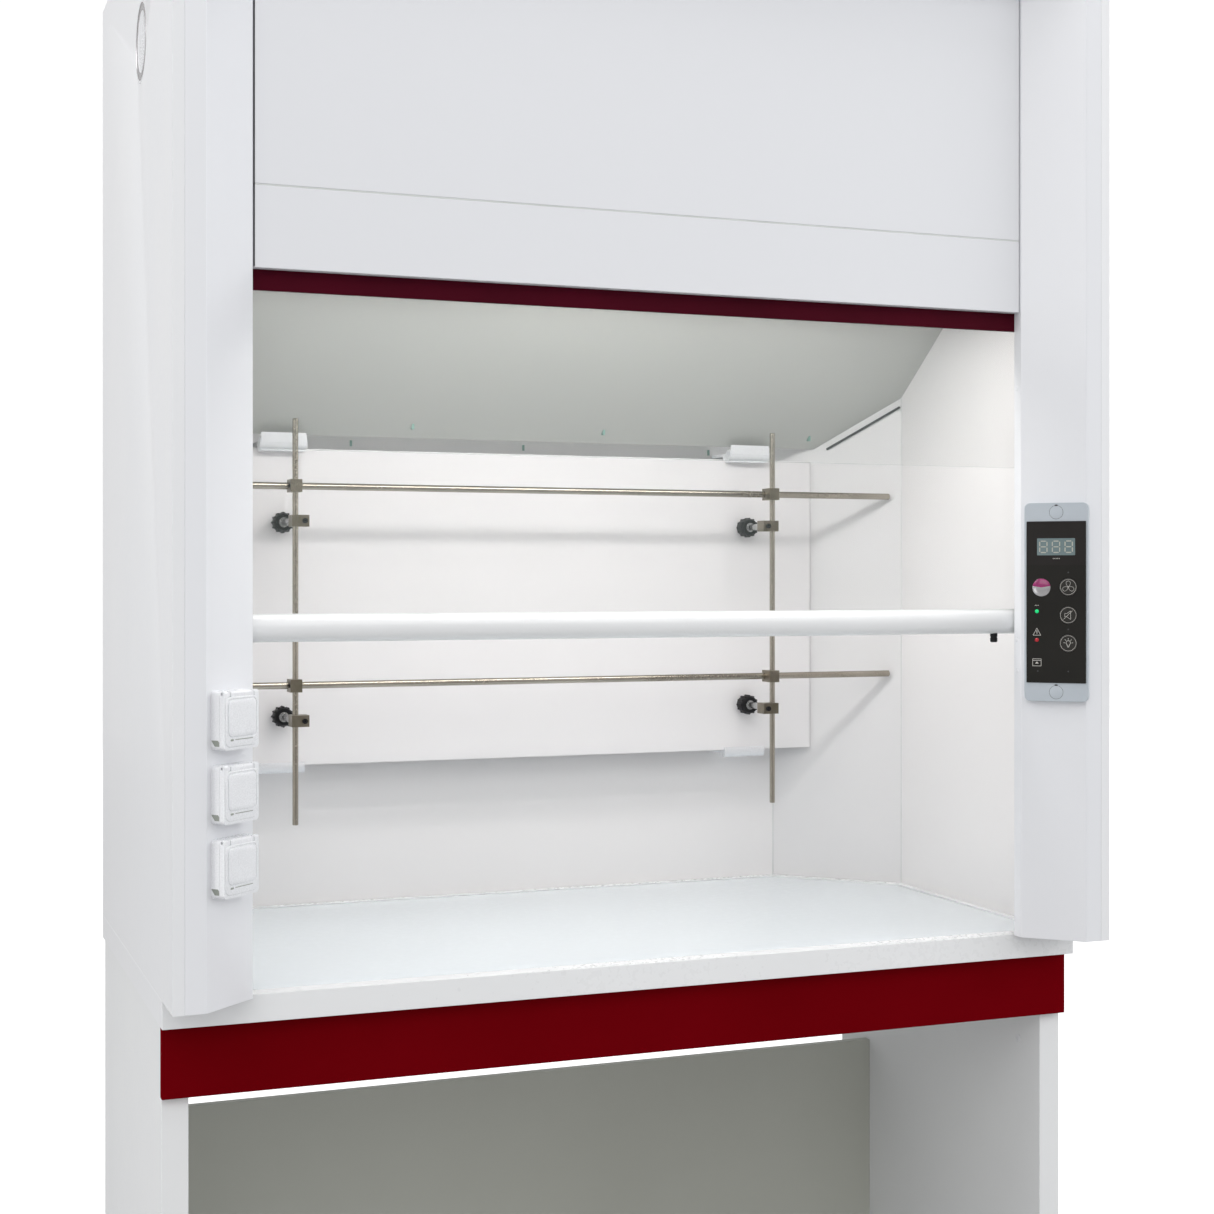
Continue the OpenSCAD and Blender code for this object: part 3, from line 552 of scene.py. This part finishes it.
floorMesh = bpy.data.meshes.new("floor")
floorMesh.from_pydata([(-14, -14, 0), (14, -14, 0), (14, 14, 0), (-14, 14, 0)], [], [(0, 1, 2, 3)])
floor = bpy.data.objects.new("floor", floorMesh)
finishes["floorPale"] = dict(base=(0.50, 0.50, 0.50), deep=(0.48, 0.48, 0.48), rough=(0.5, 0.6),
    scale=0.6, bump=0.02, glow=((1, 1, 1), 0.0))
floorFinish = makeFinish("floorPale")
floorPath = addNode(floorFinish.node_tree, "ShaderNodeLightPath")
floorGlow = addNode(floorFinish.node_tree, "ShaderNodeMath",
    [(0, floorPath.outputs["Is Camera Ray"]), (1, 0.92)], operation="MULTIPLY")
floorFinish.node_tree.links.new(floorGlow.outputs[0],
    floorFinish.node_tree.nodes["Principled BSDF"].inputs["Emission Strength"])
floorMesh.materials.append(floorFinish)
bpy.context.scene.collection.objects.link(floor)
print("stage set")

for side in ("left", "right"):
    eased("leg_panel_" + side, "legBoard", 1.0)
# the back panel gets the darkened white board: painted shade under the worktop
eased("base_back_panel", "kneeBoardPaintedShade", 0.8)
eased("base_rear_rail", "legBoard", 0.8)
eased("front_apron", "deepRed", 1.2, 3)
slab = eased("worktop", "worktopEdge", 0.8)
slab.data.materials.append(materials["whiteBoard"])
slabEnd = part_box("worktop")[1].x - 0.005
for face in slab.data.polygons:
    if abs(face.normal.x) > 0.9 and abs(face.center.x) > slabEnd:
        face.material_index = 1
eased("worktop_glass", "worktopGlass", 1.2, 3)

footSizes = dict(acrossX=(-727, 727), alongY=(90, 675), pad=16, stem=5, stemTop=20, nut=9.2, nutLow=14.6,
    nutHeight=5, thread=1.25)


def makeFeet(sizes):
    feet = Shape("darkRubber", "brightSteel")
    for x in sizes["acrossX"]:
        for y in sizes["alongY"]:
            feet.turned([(0, 0), (sizes["pad"] - 1.5, 0), (sizes["pad"], 1.5), (sizes["pad"], 4.5),
                (sizes["pad"] - 3, 7), (7.5, 8), (0, 8)], (x, y, 0), (0, 0, 1), 36, finish=0)
            stem, z = [(0, 8)], 8.0
            while z + sizes["thread"] < sizes["stemTop"]:
                stem += [(sizes["stem"], z), (sizes["stem"] - 0.6, z + sizes["thread"] / 2)]
                z += sizes["thread"]
            feet.turned(stem + [(sizes["stem"], z), (0, z)], (x, y, 0), (0, 0, 1), 24, finish=1)
            hexagon = [(x + sizes["nut"] * math.cos(k * math.pi / 3),
                y + sizes["nut"] * math.sin(k * math.pi / 3)) for k in range(6)]
            feet.prism(hexagon, sizes["nutLow"], sizes["nutLow"] + sizes["nutHeight"], finish=1)
    feet.done("levelling-feet", "cabinet", ["levelling_feet"])


makeFeet(footSizes)

backFace, roofFace = 733.6, 2479.4        # middle of the screw heads at the back and on the roof

# furniture connector caps inside the legs, and screws along the apron and the rear rail
caps = [((sx * 708, y, z), (-sx, 0, 0)) for sx in (-1, 1) for y in (100, 330, 560) for z in (700, 745)]
screws("leg-connector-caps", caps, 7.5, 1.0, finish="whiteMoulding")
screws("apron-screws", [((x, 36.4, 800), (0, 1, 0)) for x in range(-660, 661, 264)], 4.2, 1.2)
screws("rear-rail-screws", [((x, backFace, 800), (0, 1, 0)) for x in (-690, -660, 660, 690)], 4.2, 1.2)
print("base done")

for side in ("left", "right"):
    eased("side_panel_" + side, "whiteBoard", 0.4)
    eased("column_" + side, "whiteSteel", 0.9, 3)
# the finish, how far the edges are eased and in how many steps
cabinetParts = {
    "upper_fascia": ("fasciaBoard", 1.2, 3),
    "lower_fascia": ("fasciaBoard", 1.2, 3),
    "header_rail": ("railRedPaintedShade", 0.8),
    "inner_header": ("whiteSteel", 0.6),
    "roof_panel": ("whiteSteel", 0.8),
    "back_panel": ("fasciaBoard", 0.8),
    "side_liners": ("chamberWhite", 0.6),
    "corner_panels": ("cornerWhitePaintedShade", 0.6),
    "rear_liner": ("chamberWhite", 0.6),
    "ceiling_panel": ("ceilingGrey", 0.8),
    "rear_baffle": ("baffleWhite", 1.2, 3),
    "baffle_grips": ("whiteMoulding", 1.0, 3),
    "lamp_housing": ("whiteSteel", 0.8),
    "lamp_diffuser": ("diffuser", 0.8),
}
for node, look in cabinetParts.items():
    eased(node, *look)

edge = [((x, backFace, z), (0, 1, 0)) for x in (-722, 722) for z in range(940, 2461, 190)]
edge += [((x, backFace, z), (0, 1, 0)) for x in range(-480, 481, 240) for z in (940, 2460)]
screws("back-panel-screws", edge, 4.4, 1.2)
rim = [((x, y, roofFace), (0, 0, 1)) for x in (-718, 718) for y in range(-70, 720, 155)]
rim += [((x, y, roofFace), (0, 0, 1)) for x in range(-480, 481, 240) for y in (-70, 705)]
screws("roof-screws", rim, 4.4, 1.2)
ring = [((139 * math.cos(k * math.pi / 4 + 0.4), 400 + 139 * math.sin(k * math.pi / 4 + 0.4), 2483.5),
    (0, 0, 1)) for k in range(8)]
screws("spigot-screws", ring, 4.6, 1.8)
screws("column-return-screws", [((sx * 628.8, -17, z), (-sx, 0, 0)) for sx in (-1, 1)
    for z in (1337, 1388, 1800, 2250)], 3.6, 0.8, finish="whiteMoulding")

spigot = dict(centre=(0, 400, 0), radius=125, wall=2, low=2446, top=2560, beads=(2510, 2545), bead=1.6)


def makeSpigot(sizes):
    r, w, low, top, bead = (sizes[key] for key in ("radius", "wall", "low", "top", "bead"))
    outer = [(r, low), (r, 2480), (r + 28, 2480), (r + 28, 2483), (r + 2.5, 2483), (r, 2485.5)]
    for z in sizes["beads"]:
        outer += [(r, z - 3), (r - 0.3, z - 2), (r - bead, z), (r - 0.3, z + 2), (r, z + 3)]
    outer += [(r, top - 1), (r - 0.6, top), (r - w + 0.4, top), (r - w, top - 1)]
    inner = []
    for z in reversed(sizes["beads"]):
        inner += [(r - w, z + 3), (r - w - bead, z), (r - w, z - 3)]
    inner += [(r - w, low)]
    pipe = Shape("whiteMoulding")
    pipe.turned(outer + inner, sizes["centre"], (0, 0, 1), 96, closed=True)
    pipe.done("exhaust-spigot", "cabinet", ["exhaust_spigot"])


makeSpigot(spigot)

badge = dict(centre=(-748, 223, 2293), radius=61.6, thick=2)


def makeBadge(sizes):
    r = sizes["radius"]
    plate = Shape("whiteMoulding", "badgeMetal")
    plate.turned([(0, 0), (r, 0), (r, sizes["thick"]), (r - 4, sizes["thick"]), (r - 5, 1.1),
        (r - 9, 1.0), (r - 10, 1.7), (r - 15, 1.7), (r - 16, 1.2), (26, 1.1), (12, 1.5), (0, 1.6)],
        sizes["centre"], (-1, 0, 0), 72, span=[0, 0, 0, 1, 1, 1, 1, 1, 0, 0, 0])
    plate.done("side-badge", "cabinet", ["side_badge"])


makeBadge(badge)

# a dark strip beside the left column, painted shade in the gap there; a pale seal strip between the fascia
# boards; and dark bars along the ceiling's sides, painted shade in its side gaps
seamsAndGapShade = Shape("gapShadow", "silicone")
seamLow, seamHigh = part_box("lower_fascia")[1].z * 1000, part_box("upper_fascia")[0].z * 1000
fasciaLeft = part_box("lower_fascia")[0].x * 1000
# painted shade: a dark strip for the gap between the left column and the fascia
seamsAndGapShade.box((fasciaLeft, -25.25, 1925), (fasciaLeft + 2.0, -24.9, 2478), 0)
seamsAndGapShade.box((fasciaLeft + 2, -24.4, seamLow + 0.02), (-fasciaLeft, -12, seamHigh - 0.02), 1)
# painted shade: dark bars along the ceiling panel's side edges for the gaps there
for sx in (-1, 1):
    seamsAndGapShade.bar([(sx * 622, 638, 1742.5), (sx * 672, 588, 1779.5), (sx * 726, 534, 1820)], 2.4, 8)
seamsAndGapShade.done("seam-and-gap-shade-strips", "cabinet")

# sealant along the chamber's corners
beads = Shape("silicone")
for sx in (-1, 1):
    beads.bar([(sx * 729.7, 535, 901), (sx * 729.7, 535, 2420)], 1.0, 8)
    beads.bar([(sx * 545, 719.7, 901), (sx * 545, 719.7, 2420)], 1.0, 8)
beads.done("chamber-sealant", "cabinet")

clips = Shape("clipGreen")
for x in (-218, 150, 580):
    clips.box((x - 2, 628, 1757), (x + 2, 638, 1767))
for x in (-311, 21, 404):
    clips.box((x - 2, 717, 1730), (x + 2, 720, 1741))
clips.done("panel-clips", "cabinet", soft=0.5)
print("cabinet done")

lattice = dict(halfGap=452, holders=(1245, 1587), crossings=(1305, 1647), uprightY=533, crossY=547)


def makeRods(places):
    rods = Shape("rodSteel")
    for x in (-places["halfGap"], places["halfGap"]):
        rods.turned([(0, 1067), (4.2, 1067), (5, 1067.8), (5, 1761.2), (4.2, 1762), (0, 1762)],
            (x, places["uprightY"], 0), (0, 0, 1), 24)
    rods.done("upright-rods", "cabinet", ["upright_rods"])
    rods = Shape("rodSteel")
    for z in places["crossings"]:
        rods.turned([(0, -709), (5, -709), (6, -708), (6, 708), (5, 709), (0, 709)],
            (0, places["crossY"], z), (1, 0, 0), 24)
    rods.done("cross-rods", "cabinet", ["cross_rods"])
    finishNode("wall_rods", "brightSteel")


makeRods(lattice)

holder = dict(foot=660, ribAt=16.9, ribs=12, ribRadius=2.0, ribLength=20, ribMiddle=642)


def makeRodHolders(sizes, places):
    cores = Shape("blackPlastic", "brightSteel")
    ribs = []
    for x in (-places["halfGap"], places["halfGap"]):
        for z in places["holders"]:
            cores.turned([(6, 0), (13.5, 0), (15, 2), (15.6, 6), (16.8, 9), (17.2, 26), (16.4, 30),
                (15, 33.2), (14, 34), (10, 34), (9.2, 33.4), (8.6, 31.6), (6, 31.6)],
                (x, sizes["foot"], z), (0, -1, 0), 48, closed=True, span=[0] * 11 + [1, 1])
            for k in range(sizes["ribs"]):
                a = 2 * math.pi * k / sizes["ribs"]
                ribs.append(((x + sizes["ribAt"] * math.cos(a), sizes["ribMiddle"],
                    z + sizes["ribAt"] * math.sin(a)), (0, -1, 0)))
    cores.done("rod-holders", "cabinet", ["rod_sockets"], smooth=25)
    repeat("rod-holder-ribs", ribTree, ribs, {"Rib Radius": sizes["ribRadius"],
        "Rib Length": sizes["ribLength"]}, "blackPlastic", "cabinet")


makeRodHolders(holder, lattice)
eased("rod_clamps", "clampNickel", 0.9)


def makeThumbScrews(places):
    wings = Shape("clampNickel", "blackPlastic")
    for x in (14 - places["halfGap"], places["halfGap"] - 14):
        for z in places["holders"]:
            wings.turned([(0, 0), (3, 0), (3, 9), (4.5, 9), (4.5, 13.4), (3.9, 14), (2.2, 14), (2.0, 12),
                (0, 12)], (x, 531, z), (0, -1, 0), 20, finish=1)
    wings.done("clamp-screws", "cabinet", ["clamp_screws"])
    pins = [((sx * places["halfGap"] + sx * 10.4, places["uprightY"], z), (sx, 0, 0)) for sx in (-1, 1)
        for z in places["crossings"]]
    pins += [((sx * places["halfGap"], 556.4, z + 5), (0, 1, 0)) for sx in (-1, 1)
        for z in places["crossings"]]
    screws("cross-clamp-screws", pins, 3.4, 1.4, finish="blackPlastic")


makeThumbScrews(lattice)
print("lattice done")

eased("sash_tracks", "satinAluminium", 0.4)


# clear faces with a greener polished edge all round
def makePane(node):
    piece = eased(node, "paneClear", 0.6)
    piece.data.materials.append(materials["paneEdge"])
    for face in piece.data.polygons:
        if abs(face.normal.y) < 0.5:
            face.material_index = 1
    return piece


makePane("lower_pane")
makePane("upper_pane")
eased("sash_handle", "handleWhite", 0.4)

handle = dict(y=14, z=1417, radius=20, wall=2.5, end=668, button=(604, 14, 1383))


def makeHandleCaps(sizes):
    capsShape = Shape("whiteMoulding")
    inner = sizes["radius"] - sizes["wall"]
    for sx in (-1, 1):
        capsShape.turned([(0, 0), (inner, 0), (inner, 10.4), (inner - 1.2, 12), (6, 11.4), (0, 11.0)],
            (sx * (sizes["end"] - 12), sizes["y"], sizes["z"]), (sx, 0, 0), 48)
    capsShape.done("handle-caps", "sash", ["handle_caps"])
    button = Shape("blackPlastic")
    button.turned([(0, 0), (4.2, 0), (5.6, 0.8), (6, 2.2), (6, 7), (5.2, 7.6), (5.2, 9), (6, 9.6),
        (6, 26), (9, 26), (9, 30), (0, 30)], sizes["button"], (0, 0, 1), 32)
    button.done("release-button", "catch", ["release_button"])
    strip = Shape("silicone")
    for y in (10.6, 17.4):
        strip.bar([(-667, y, 1436.6), (667, y, 1436.6)], 0.9, 8)
    strip.done("pane-sealant", "sash")


makeHandleCaps(handle)
eased("lower_belt_arms", "satinAluminium", 0.5)
eased("upper_belt_arms", "satinAluminium", 0.5)

belt = dict(y=3, large=(706, 26), small=(718, 13.5), low=945, high=2446, pitch=5.0, tooth=0.8)


def loopPoints(radius, low, high, spacing):
    straight, around = high - low, math.pi * radius
    total = 2 * straight + 2 * around
    points = []
    for i in range(int(total / spacing)):
        s = i * spacing
        if s < straight:
            points.append((radius, low + s))
        elif s < straight + around:
            a = (s - straight) / radius
            points.append((radius * math.cos(a), high + radius * math.sin(a)))
        elif s < 2 * straight + around:
            points.append((-radius, high - (s - straight - around)))
        else:
            a = (s - 2 * straight - around) / radius
            points.append((-radius * math.cos(a), low - radius * math.sin(a)))
    return points


finishNode("sash_belts", "darkRubber")
teeth = [((sx * x, belt["y"] + y, z), (1, 0, 0)) for sx in (-1, 1) for x, r in (belt["large"], belt["small"])
         for y, z in loopPoints(r, belt["low"], belt["high"], belt["pitch"])]
repeat("belt-teeth", ribTree, teeth, {"Rib Radius": belt["tooth"] / 2, "Rib Length": 9.6}, "darkRubber",
    "cabinet")
for node in ("drive_pulleys", "idler_pulleys", "shaft_bearings"):
    eased(node, "pulleyGrey", 0.4)
for node in ("sync_shaft", "idler_pins"):
    finishNode(node, "brightSteel")
eased("counterweights", "castIron", 1.2)
weightBolts = [((sx * (belt["large"][0] + dx), -64.8, z), (0, -1, 0)) for sx in (-1, 1)
    for dx in (-12, 12) for z in (1470, 1672, 1875)]
screws("weight-bolts", weightBolts, 5.0, 2.4, body="weights")
print("sash and drive done")

socket = dict(start=10, wide=78, high=80, closed=22, centres=(1295, 1194.5, 1094),
    names=("top", "middle", "bottom"))


def makeSockets(sizes):
    eased("socket_boxes", "whiteMoulding", 0.8, 3)
    finishNode("lid_pins", "whiteMoulding")
    middle = sizes["start"] + sizes["wide"] / 2
    wells = Shape("outletGrey", "brightSteel", "gapShadow")
    for centre in sizes["centres"]:
        low = centre - sizes["high"] / 2
        z = low + 9 + 29
        wells.prism(rounded(60, 58, 4, middle, z), 6, 9, "y", 0)
        ringProfile = [(19.5, 9), (19.5, 11.6), (20.2, 12), (22, 12), (22.4, 11.4), (22.4, 9)]
        wells.turned(ringProfile, (middle, 0, z), (0, 1, 0), 48, closed=True)
        # the two pin holes are dark discs: painted shade inside the holes
        for dx in (-9.5, 9.5):
            wells.turned([(0, 9), (2.6, 9), (2.6, 9.3), (0, 9.3)], (middle + dx, 0, z), (0, 1, 0), 16,
                finish=2)
        for dz in (-18.2, 18.2):
            wells.box((middle - 3, 9, z + dz - 1), (middle + 3, 11.6, z + dz + 1), 1)
    # grey patches low on each box's side: painted shade inside the gap under the lid
    slotShade = Shape("shadeGrey")
    for centre in sizes["centres"]:
        low = centre - sizes["high"] / 2
        slotShade.prism([(0.6, low + 13.6), (11.5, low + 13.6), (13.7, low + 11), (13.7, low + 5.4),
            (6.5, low + 5.4)], sizes["start"] - 0.25, sizes["start"] + 0.1, "x")
    slotShade.done("socket-side-slot-shade", "cabinet", place=onBevel(-1))
    wells.done("socket-outlets", "cabinet", ["socket_faces"], place=onBevel(-1))
    for centre, name in zip(sizes["centres"], sizes["names"]):
        node = "socket_lid_" + name
        eased(node, "whiteMoulding", 1.4, 3)
        low = centre - sizes["high"] / 2
        panel = Shape("whiteMoulding", "shadeGrey")
        makeLidPanel(panel, middle, low, sizes["closed"])
        panel.done("lid-panel-" + name, bodyOf[node], place=onBevel(-1))


# the lid's face: a wide rolled lip and a raised field set towards the top, with a finger notch below it; the
# notch's hollow and a line under the field are painted shade in grey
def makeLidPanel(panel, middle, low, top):
    rows = [(74, 68, 10, 38, -0.1), (73, 67, 10, 38, 0.8), (70, 64, 9.5, 38, 1.2), (66, 54, 8, 43, 1.2),
        (65, 53, 8, 43, 0.4), (62, 50, 7.5, 43, 0.4), (61, 49, 7.5, 43, 1.8), (57, 45, 7, 43, 2.5),
        (50, 38, 6, 43, 2.5)]
    rings = [[panel.bm.verts.new((x, top + y, z)) for x, z in rounded(w, h, r, middle, low + up)] for w,
        h, r, up, y in rows]
    for a, b in zip(rings, rings[1:]):
        for i in range(len(a)):
            j = (i + 1) % len(a)
            panel.bm.faces.new((a[i], a[j], b[j], b[i]))
    panel.bm.faces.new(rings[-1])
    panel.bm.faces.new(rings[0])
    # painted shade: a grey mark in the finger notch and a grey line under the field's lower edge
    panel.prism(rounded(7, 2.8, 1.3, middle - 23, low + 13.4), top + 1.1, top + 1.35, "y", 1)
    panel.prism(rounded(40, 1.2, 0.5, middle + 4, low + 13.8), top + 1.1, top + 1.25, "y", 1)


makeSockets(socket)
print("sockets done")

panelSizes = dict(mid=46, face=95, keys=(1474.5, 1429.0, 1383.5), keyAlong=26.5, keyRadius=13.8)
iconDepth = (13.5, 13.75)         # print on the face, from its inside to its outside
keyDepth = (13.55, 13.95)         # print on a key
digitDepth = (13.7, 13.9)


def circle(x, z, radius, steps=28, start=0.0, end=360.0):
    return [(x + radius * math.cos(math.radians(start + (end - start) * i / steps)),
        z + radius * math.sin(math.radians(start + (end - start) * i / steps))) for i in range(steps + 1)]


def makeController(sizes):
    eased("controller_housing", "housingGrey", 2.2, 4)
    eased("controller_face", "facePanel", 0.4, 2)
    place = onBevel(1)
    m = sizes["mid"]
    caps = Shape("housingGrey", "gapShadow")
    for z, notch in ((1595.6, 1606.8), (1303.8, 1315.4)):
        caps.turned([(10.7, 11.8), (10.7, 12.12), (10.2, 12.3), (0, 12.36)], (m, 0, z), (0, 1, 0), 48)
        # a dark ring round each cap and a dark notch in it: painted shade in the gap and the slot
        caps.turned([(10.7, 11.9), (11.2, 11.9), (11.2, 12.03), (10.7, 12.03)], (m, 0, z), (0, 1, 0), 48,
            closed=True, finish=1)
        caps.prism([(m - 2.6, notch - 1.2), (m + 2.6, notch - 1.2), (m + 2.0, notch + 1.2),
            (m - 2.0, notch + 1.2)], 11.9, 12.4, "y", 1)
    caps.done("controller-caps", "cabinet", place=place)
    upper = Shape("facePanelDark")
    upper.prism(rounded(sizes["face"] - 0.6, 70.5, 1.0, m, 1545.4), 13.4, 13.56, "y")
    upper.done("controller-window", "cabinet", place=place)
    screen = Shape("displayGlass", "digitBeige")
    screen.prism(rounded(60.5, 27.4, 0.8, m, 1539.6), 13.5, 13.75, "y", 0)
    for k in (-1, 0, 1):
        drawDigit(screen, m - k * 20.2, 1539.6)
    screen.done("display", "cabinet", place=place)
    makePrint(sizes["mid"], place)
    for name, z, icon in zip(("fan", "alarm", "lamp"), sizes["keys"], (fanIcon, bellIcon, bulbIcon)):
        makeKey(name, sizes["keyAlong"], z, sizes["keyRadius"], icon, place)


# seven bars of a figure eight
def drawDigit(shape, x, z):
    w, h, t = 11.6, 18.4, 1.7
    for dz in (-h / 2, 0, h / 2):
        shape.prism([(x - w / 2 + 1.3, z + dz), (x - w / 2 + 2.3, z + dz - t / 2),
            (x + w / 2 - 2.3, z + dz - t / 2), (x + w / 2 - 1.3, z + dz),
            (x + w / 2 - 2.3, z + dz + t / 2), (x - w / 2 + 2.3, z + dz + t / 2)], *digitDepth, "y", 1)
    for dx in (-w / 2, w / 2):
        for low, high in ((-h / 2 + 0.7, -0.7), (0.7, h / 2 - 0.7)):
            shape.prism([(x + dx, z + low), (x + dx + t / 2, z + low + 1),
                (x + dx + t / 2, z + high - 1), (x + dx, z + high), (x + dx - t / 2, z + high - 1),
                (x + dx - t / 2, z + low + 1)], *digitDepth, "y", 1)


def makePrint(m, place):
    left = m + 30.6
    low, high = iconDepth
    marks = Shape("printWhite", "ledGreen", "ledRed", "badgeMetal", "badgePlum", "gapShadow")
    marks.strokes([(left - 6.2, 1396), (left + 6.2, 1396), (left, 1407.6), (left - 6.2, 1396)], 0.7, low,
        high)
    marks.stroke((left, 1404), (left, 1400), 1.1, low, high)
    marks.stroke((left, 1398.9), (left, 1397.9), 1.1, low, high)
    frameLine = [(left - 6.8, 1346.2), (left + 6.8, 1346.2), (left + 6.8, 1357.6), (left - 6.8, 1357.6),
        (left - 6.8, 1346.2)]
    marks.strokes(frameLine, 0.7, low, high)
    marks.stroke((left - 6.8, 1355), (left + 6.8, 1355), 0.8, low, high)
    marks.prism([(left - 2.8, 1350), (left + 2.8, 1350), (left, 1353.4)], low, high, "y")
    for z, finish in ((1434.9, 1), (1388.4, 2)):
        marks.turned([(3.1, 13.3), (3.1, 13.8), (2.5, 14.2), (1.3, 14.5), (0, 14.6)], (left, 0, z),
            (0, 1, 0), 28, finish=finish)
    # four small dark dots in the gap-shade finish: painted shade
    for x, z in ((26.5, 1498), (26.5, 1406), (26.5, 1338), (75.2, 1338)):
        marks.turned([(1.3, 13.3), (1.3, 13.58), (0, 13.6)], (x, 0, z), (0, 1, 0), 14, finish=5)
    for i in range(5):
        marks.stroke((m + 5 - 2.4 * i, 1520.6), (m + 4 - 2.4 * i, 1520.6), 1.6, low, high)
    for i in range(3):
        marks.stroke((left + 3.2 - 2.4 * i, 1444.6), (left + 2.0 - 2.4 * i, 1444.6), 1.2, low, high)
    # a plain two-tone domed stud
    studX, studZ, studRadius = m + 23.3, 1473.7, 14.4
    steps, rows = 40, [(1.0, 13.4), (1.0, 13.9), (0.92, 14.7), (0.75, 15.4), (0.5, 15.9), (0.25, 16.15)]
    tones = [4 if math.sin(2 * math.pi * (i + 0.5) / steps) > 0.1 else 3 for i in range(steps)]
    rings = [[marks.bm.verts.new((studX + studRadius * k * math.cos(2 * math.pi * i / steps), y,
        studZ + studRadius * k * math.sin(2 * math.pi * i / steps))) for i in range(steps)] for k, y in rows]
    for a, b in zip(rings, rings[1:]):
        for i in range(steps):
            j = (i + 1) % steps
            marks.bm.faces.new((a[i], a[j], b[j], b[i])).material_index = tones[i]
    for i in range(steps):
        tip = marks.bm.verts.new((studX, 16.2, studZ))
        marks.bm.faces.new((rings[-1][i], rings[-1][(i + 1) % steps], tip)).material_index = tones[i]
    marks.done("controller-print", "cabinet", place=place)


def makeKey(name, x, z, r, icon, place):
    node = "button_" + name
    key = Shape("keyFace", "printWhite")
    key.turned([(0, 8), (r, 8), (r, 13.5), (r - 0.6, 13.8), (r - 3, 13.7), (0, 13.5)], (x, 0, z),
        (0, 1, 0), 56)
    key.turned([(r - 1.1, 13.60), (r - 1.1, 13.92), (r - 1.62, 13.92), (r - 1.62, 13.60)], (x, 0, z),
        (0, 1, 0), 56, closed=True, finish=1)
    icon(key, x, z)
    key.done("key-" + name, bodyOf[node], [node], place=place)


def petal(x, z, turn, length, width, steps=14):
    points = []
    for i in range(steps + 1):
        t = 2 * math.pi * i / steps
        along, across = length / 2 * (1 - math.cos(t)), width / 2 * math.sin(t) * (1 - 0.45 * math.cos(t))
        points.append((x + along * math.cos(turn) - across * math.sin(turn),
            z + along * math.sin(turn) + across * math.cos(turn)))
    return points


def fanIcon(shape, x, z):
    for k in range(3):
        shape.strokes(petal(x, z, math.radians(90 + 120 * k), 9.8, 6.4), 0.5, *keyDepth, 1)
    shape.strokes(circle(x, z, 1.1, 10), 0.7, *keyDepth, 1)


def bellIcon(shape, x, z):
    outline = [(x + 5.6, z - 2.6), (x + 5.6, z + 2.6), (x + 2.4, z + 2.6), (x - 3.8, z + 6.8),
        (x - 3.8, z - 6.8), (x + 2.4, z - 2.6), (x + 5.6, z - 2.6)]
    shape.strokes(outline, 0.55, *keyDepth, 1)
    shape.stroke((x + 7.4, z - 6.8), (x - 6.6, z + 7.2), 0.55, *keyDepth, 1)


def bulbIcon(shape, x, z):
    shape.strokes(circle(x, z + 0.8, 3.5, 18, -60, 240) + [(x - 1.5, z - 4.6),
        (x + 1.5, z - 4.6)] + circle(x, z + 0.8, 3.5, 1, -60, -60), 0.75, *keyDepth, 1)
    shape.stroke((x - 1.4, z - 6.0), (x + 1.4, z - 6.0), 0.8, *keyDepth, 1)
    for turn in (0, 45, 90, 135, 180):
        a = math.radians(turn)
        shape.stroke((x + 5.2 * math.cos(a), z + 0.8 + 5.2 * math.sin(a)),
            (x + 7.6 * math.cos(a), z + 0.8 + 7.6 * math.sin(a)), 0.75, *keyDepth, 1)


makeController(panelSizes)
print("controller done")
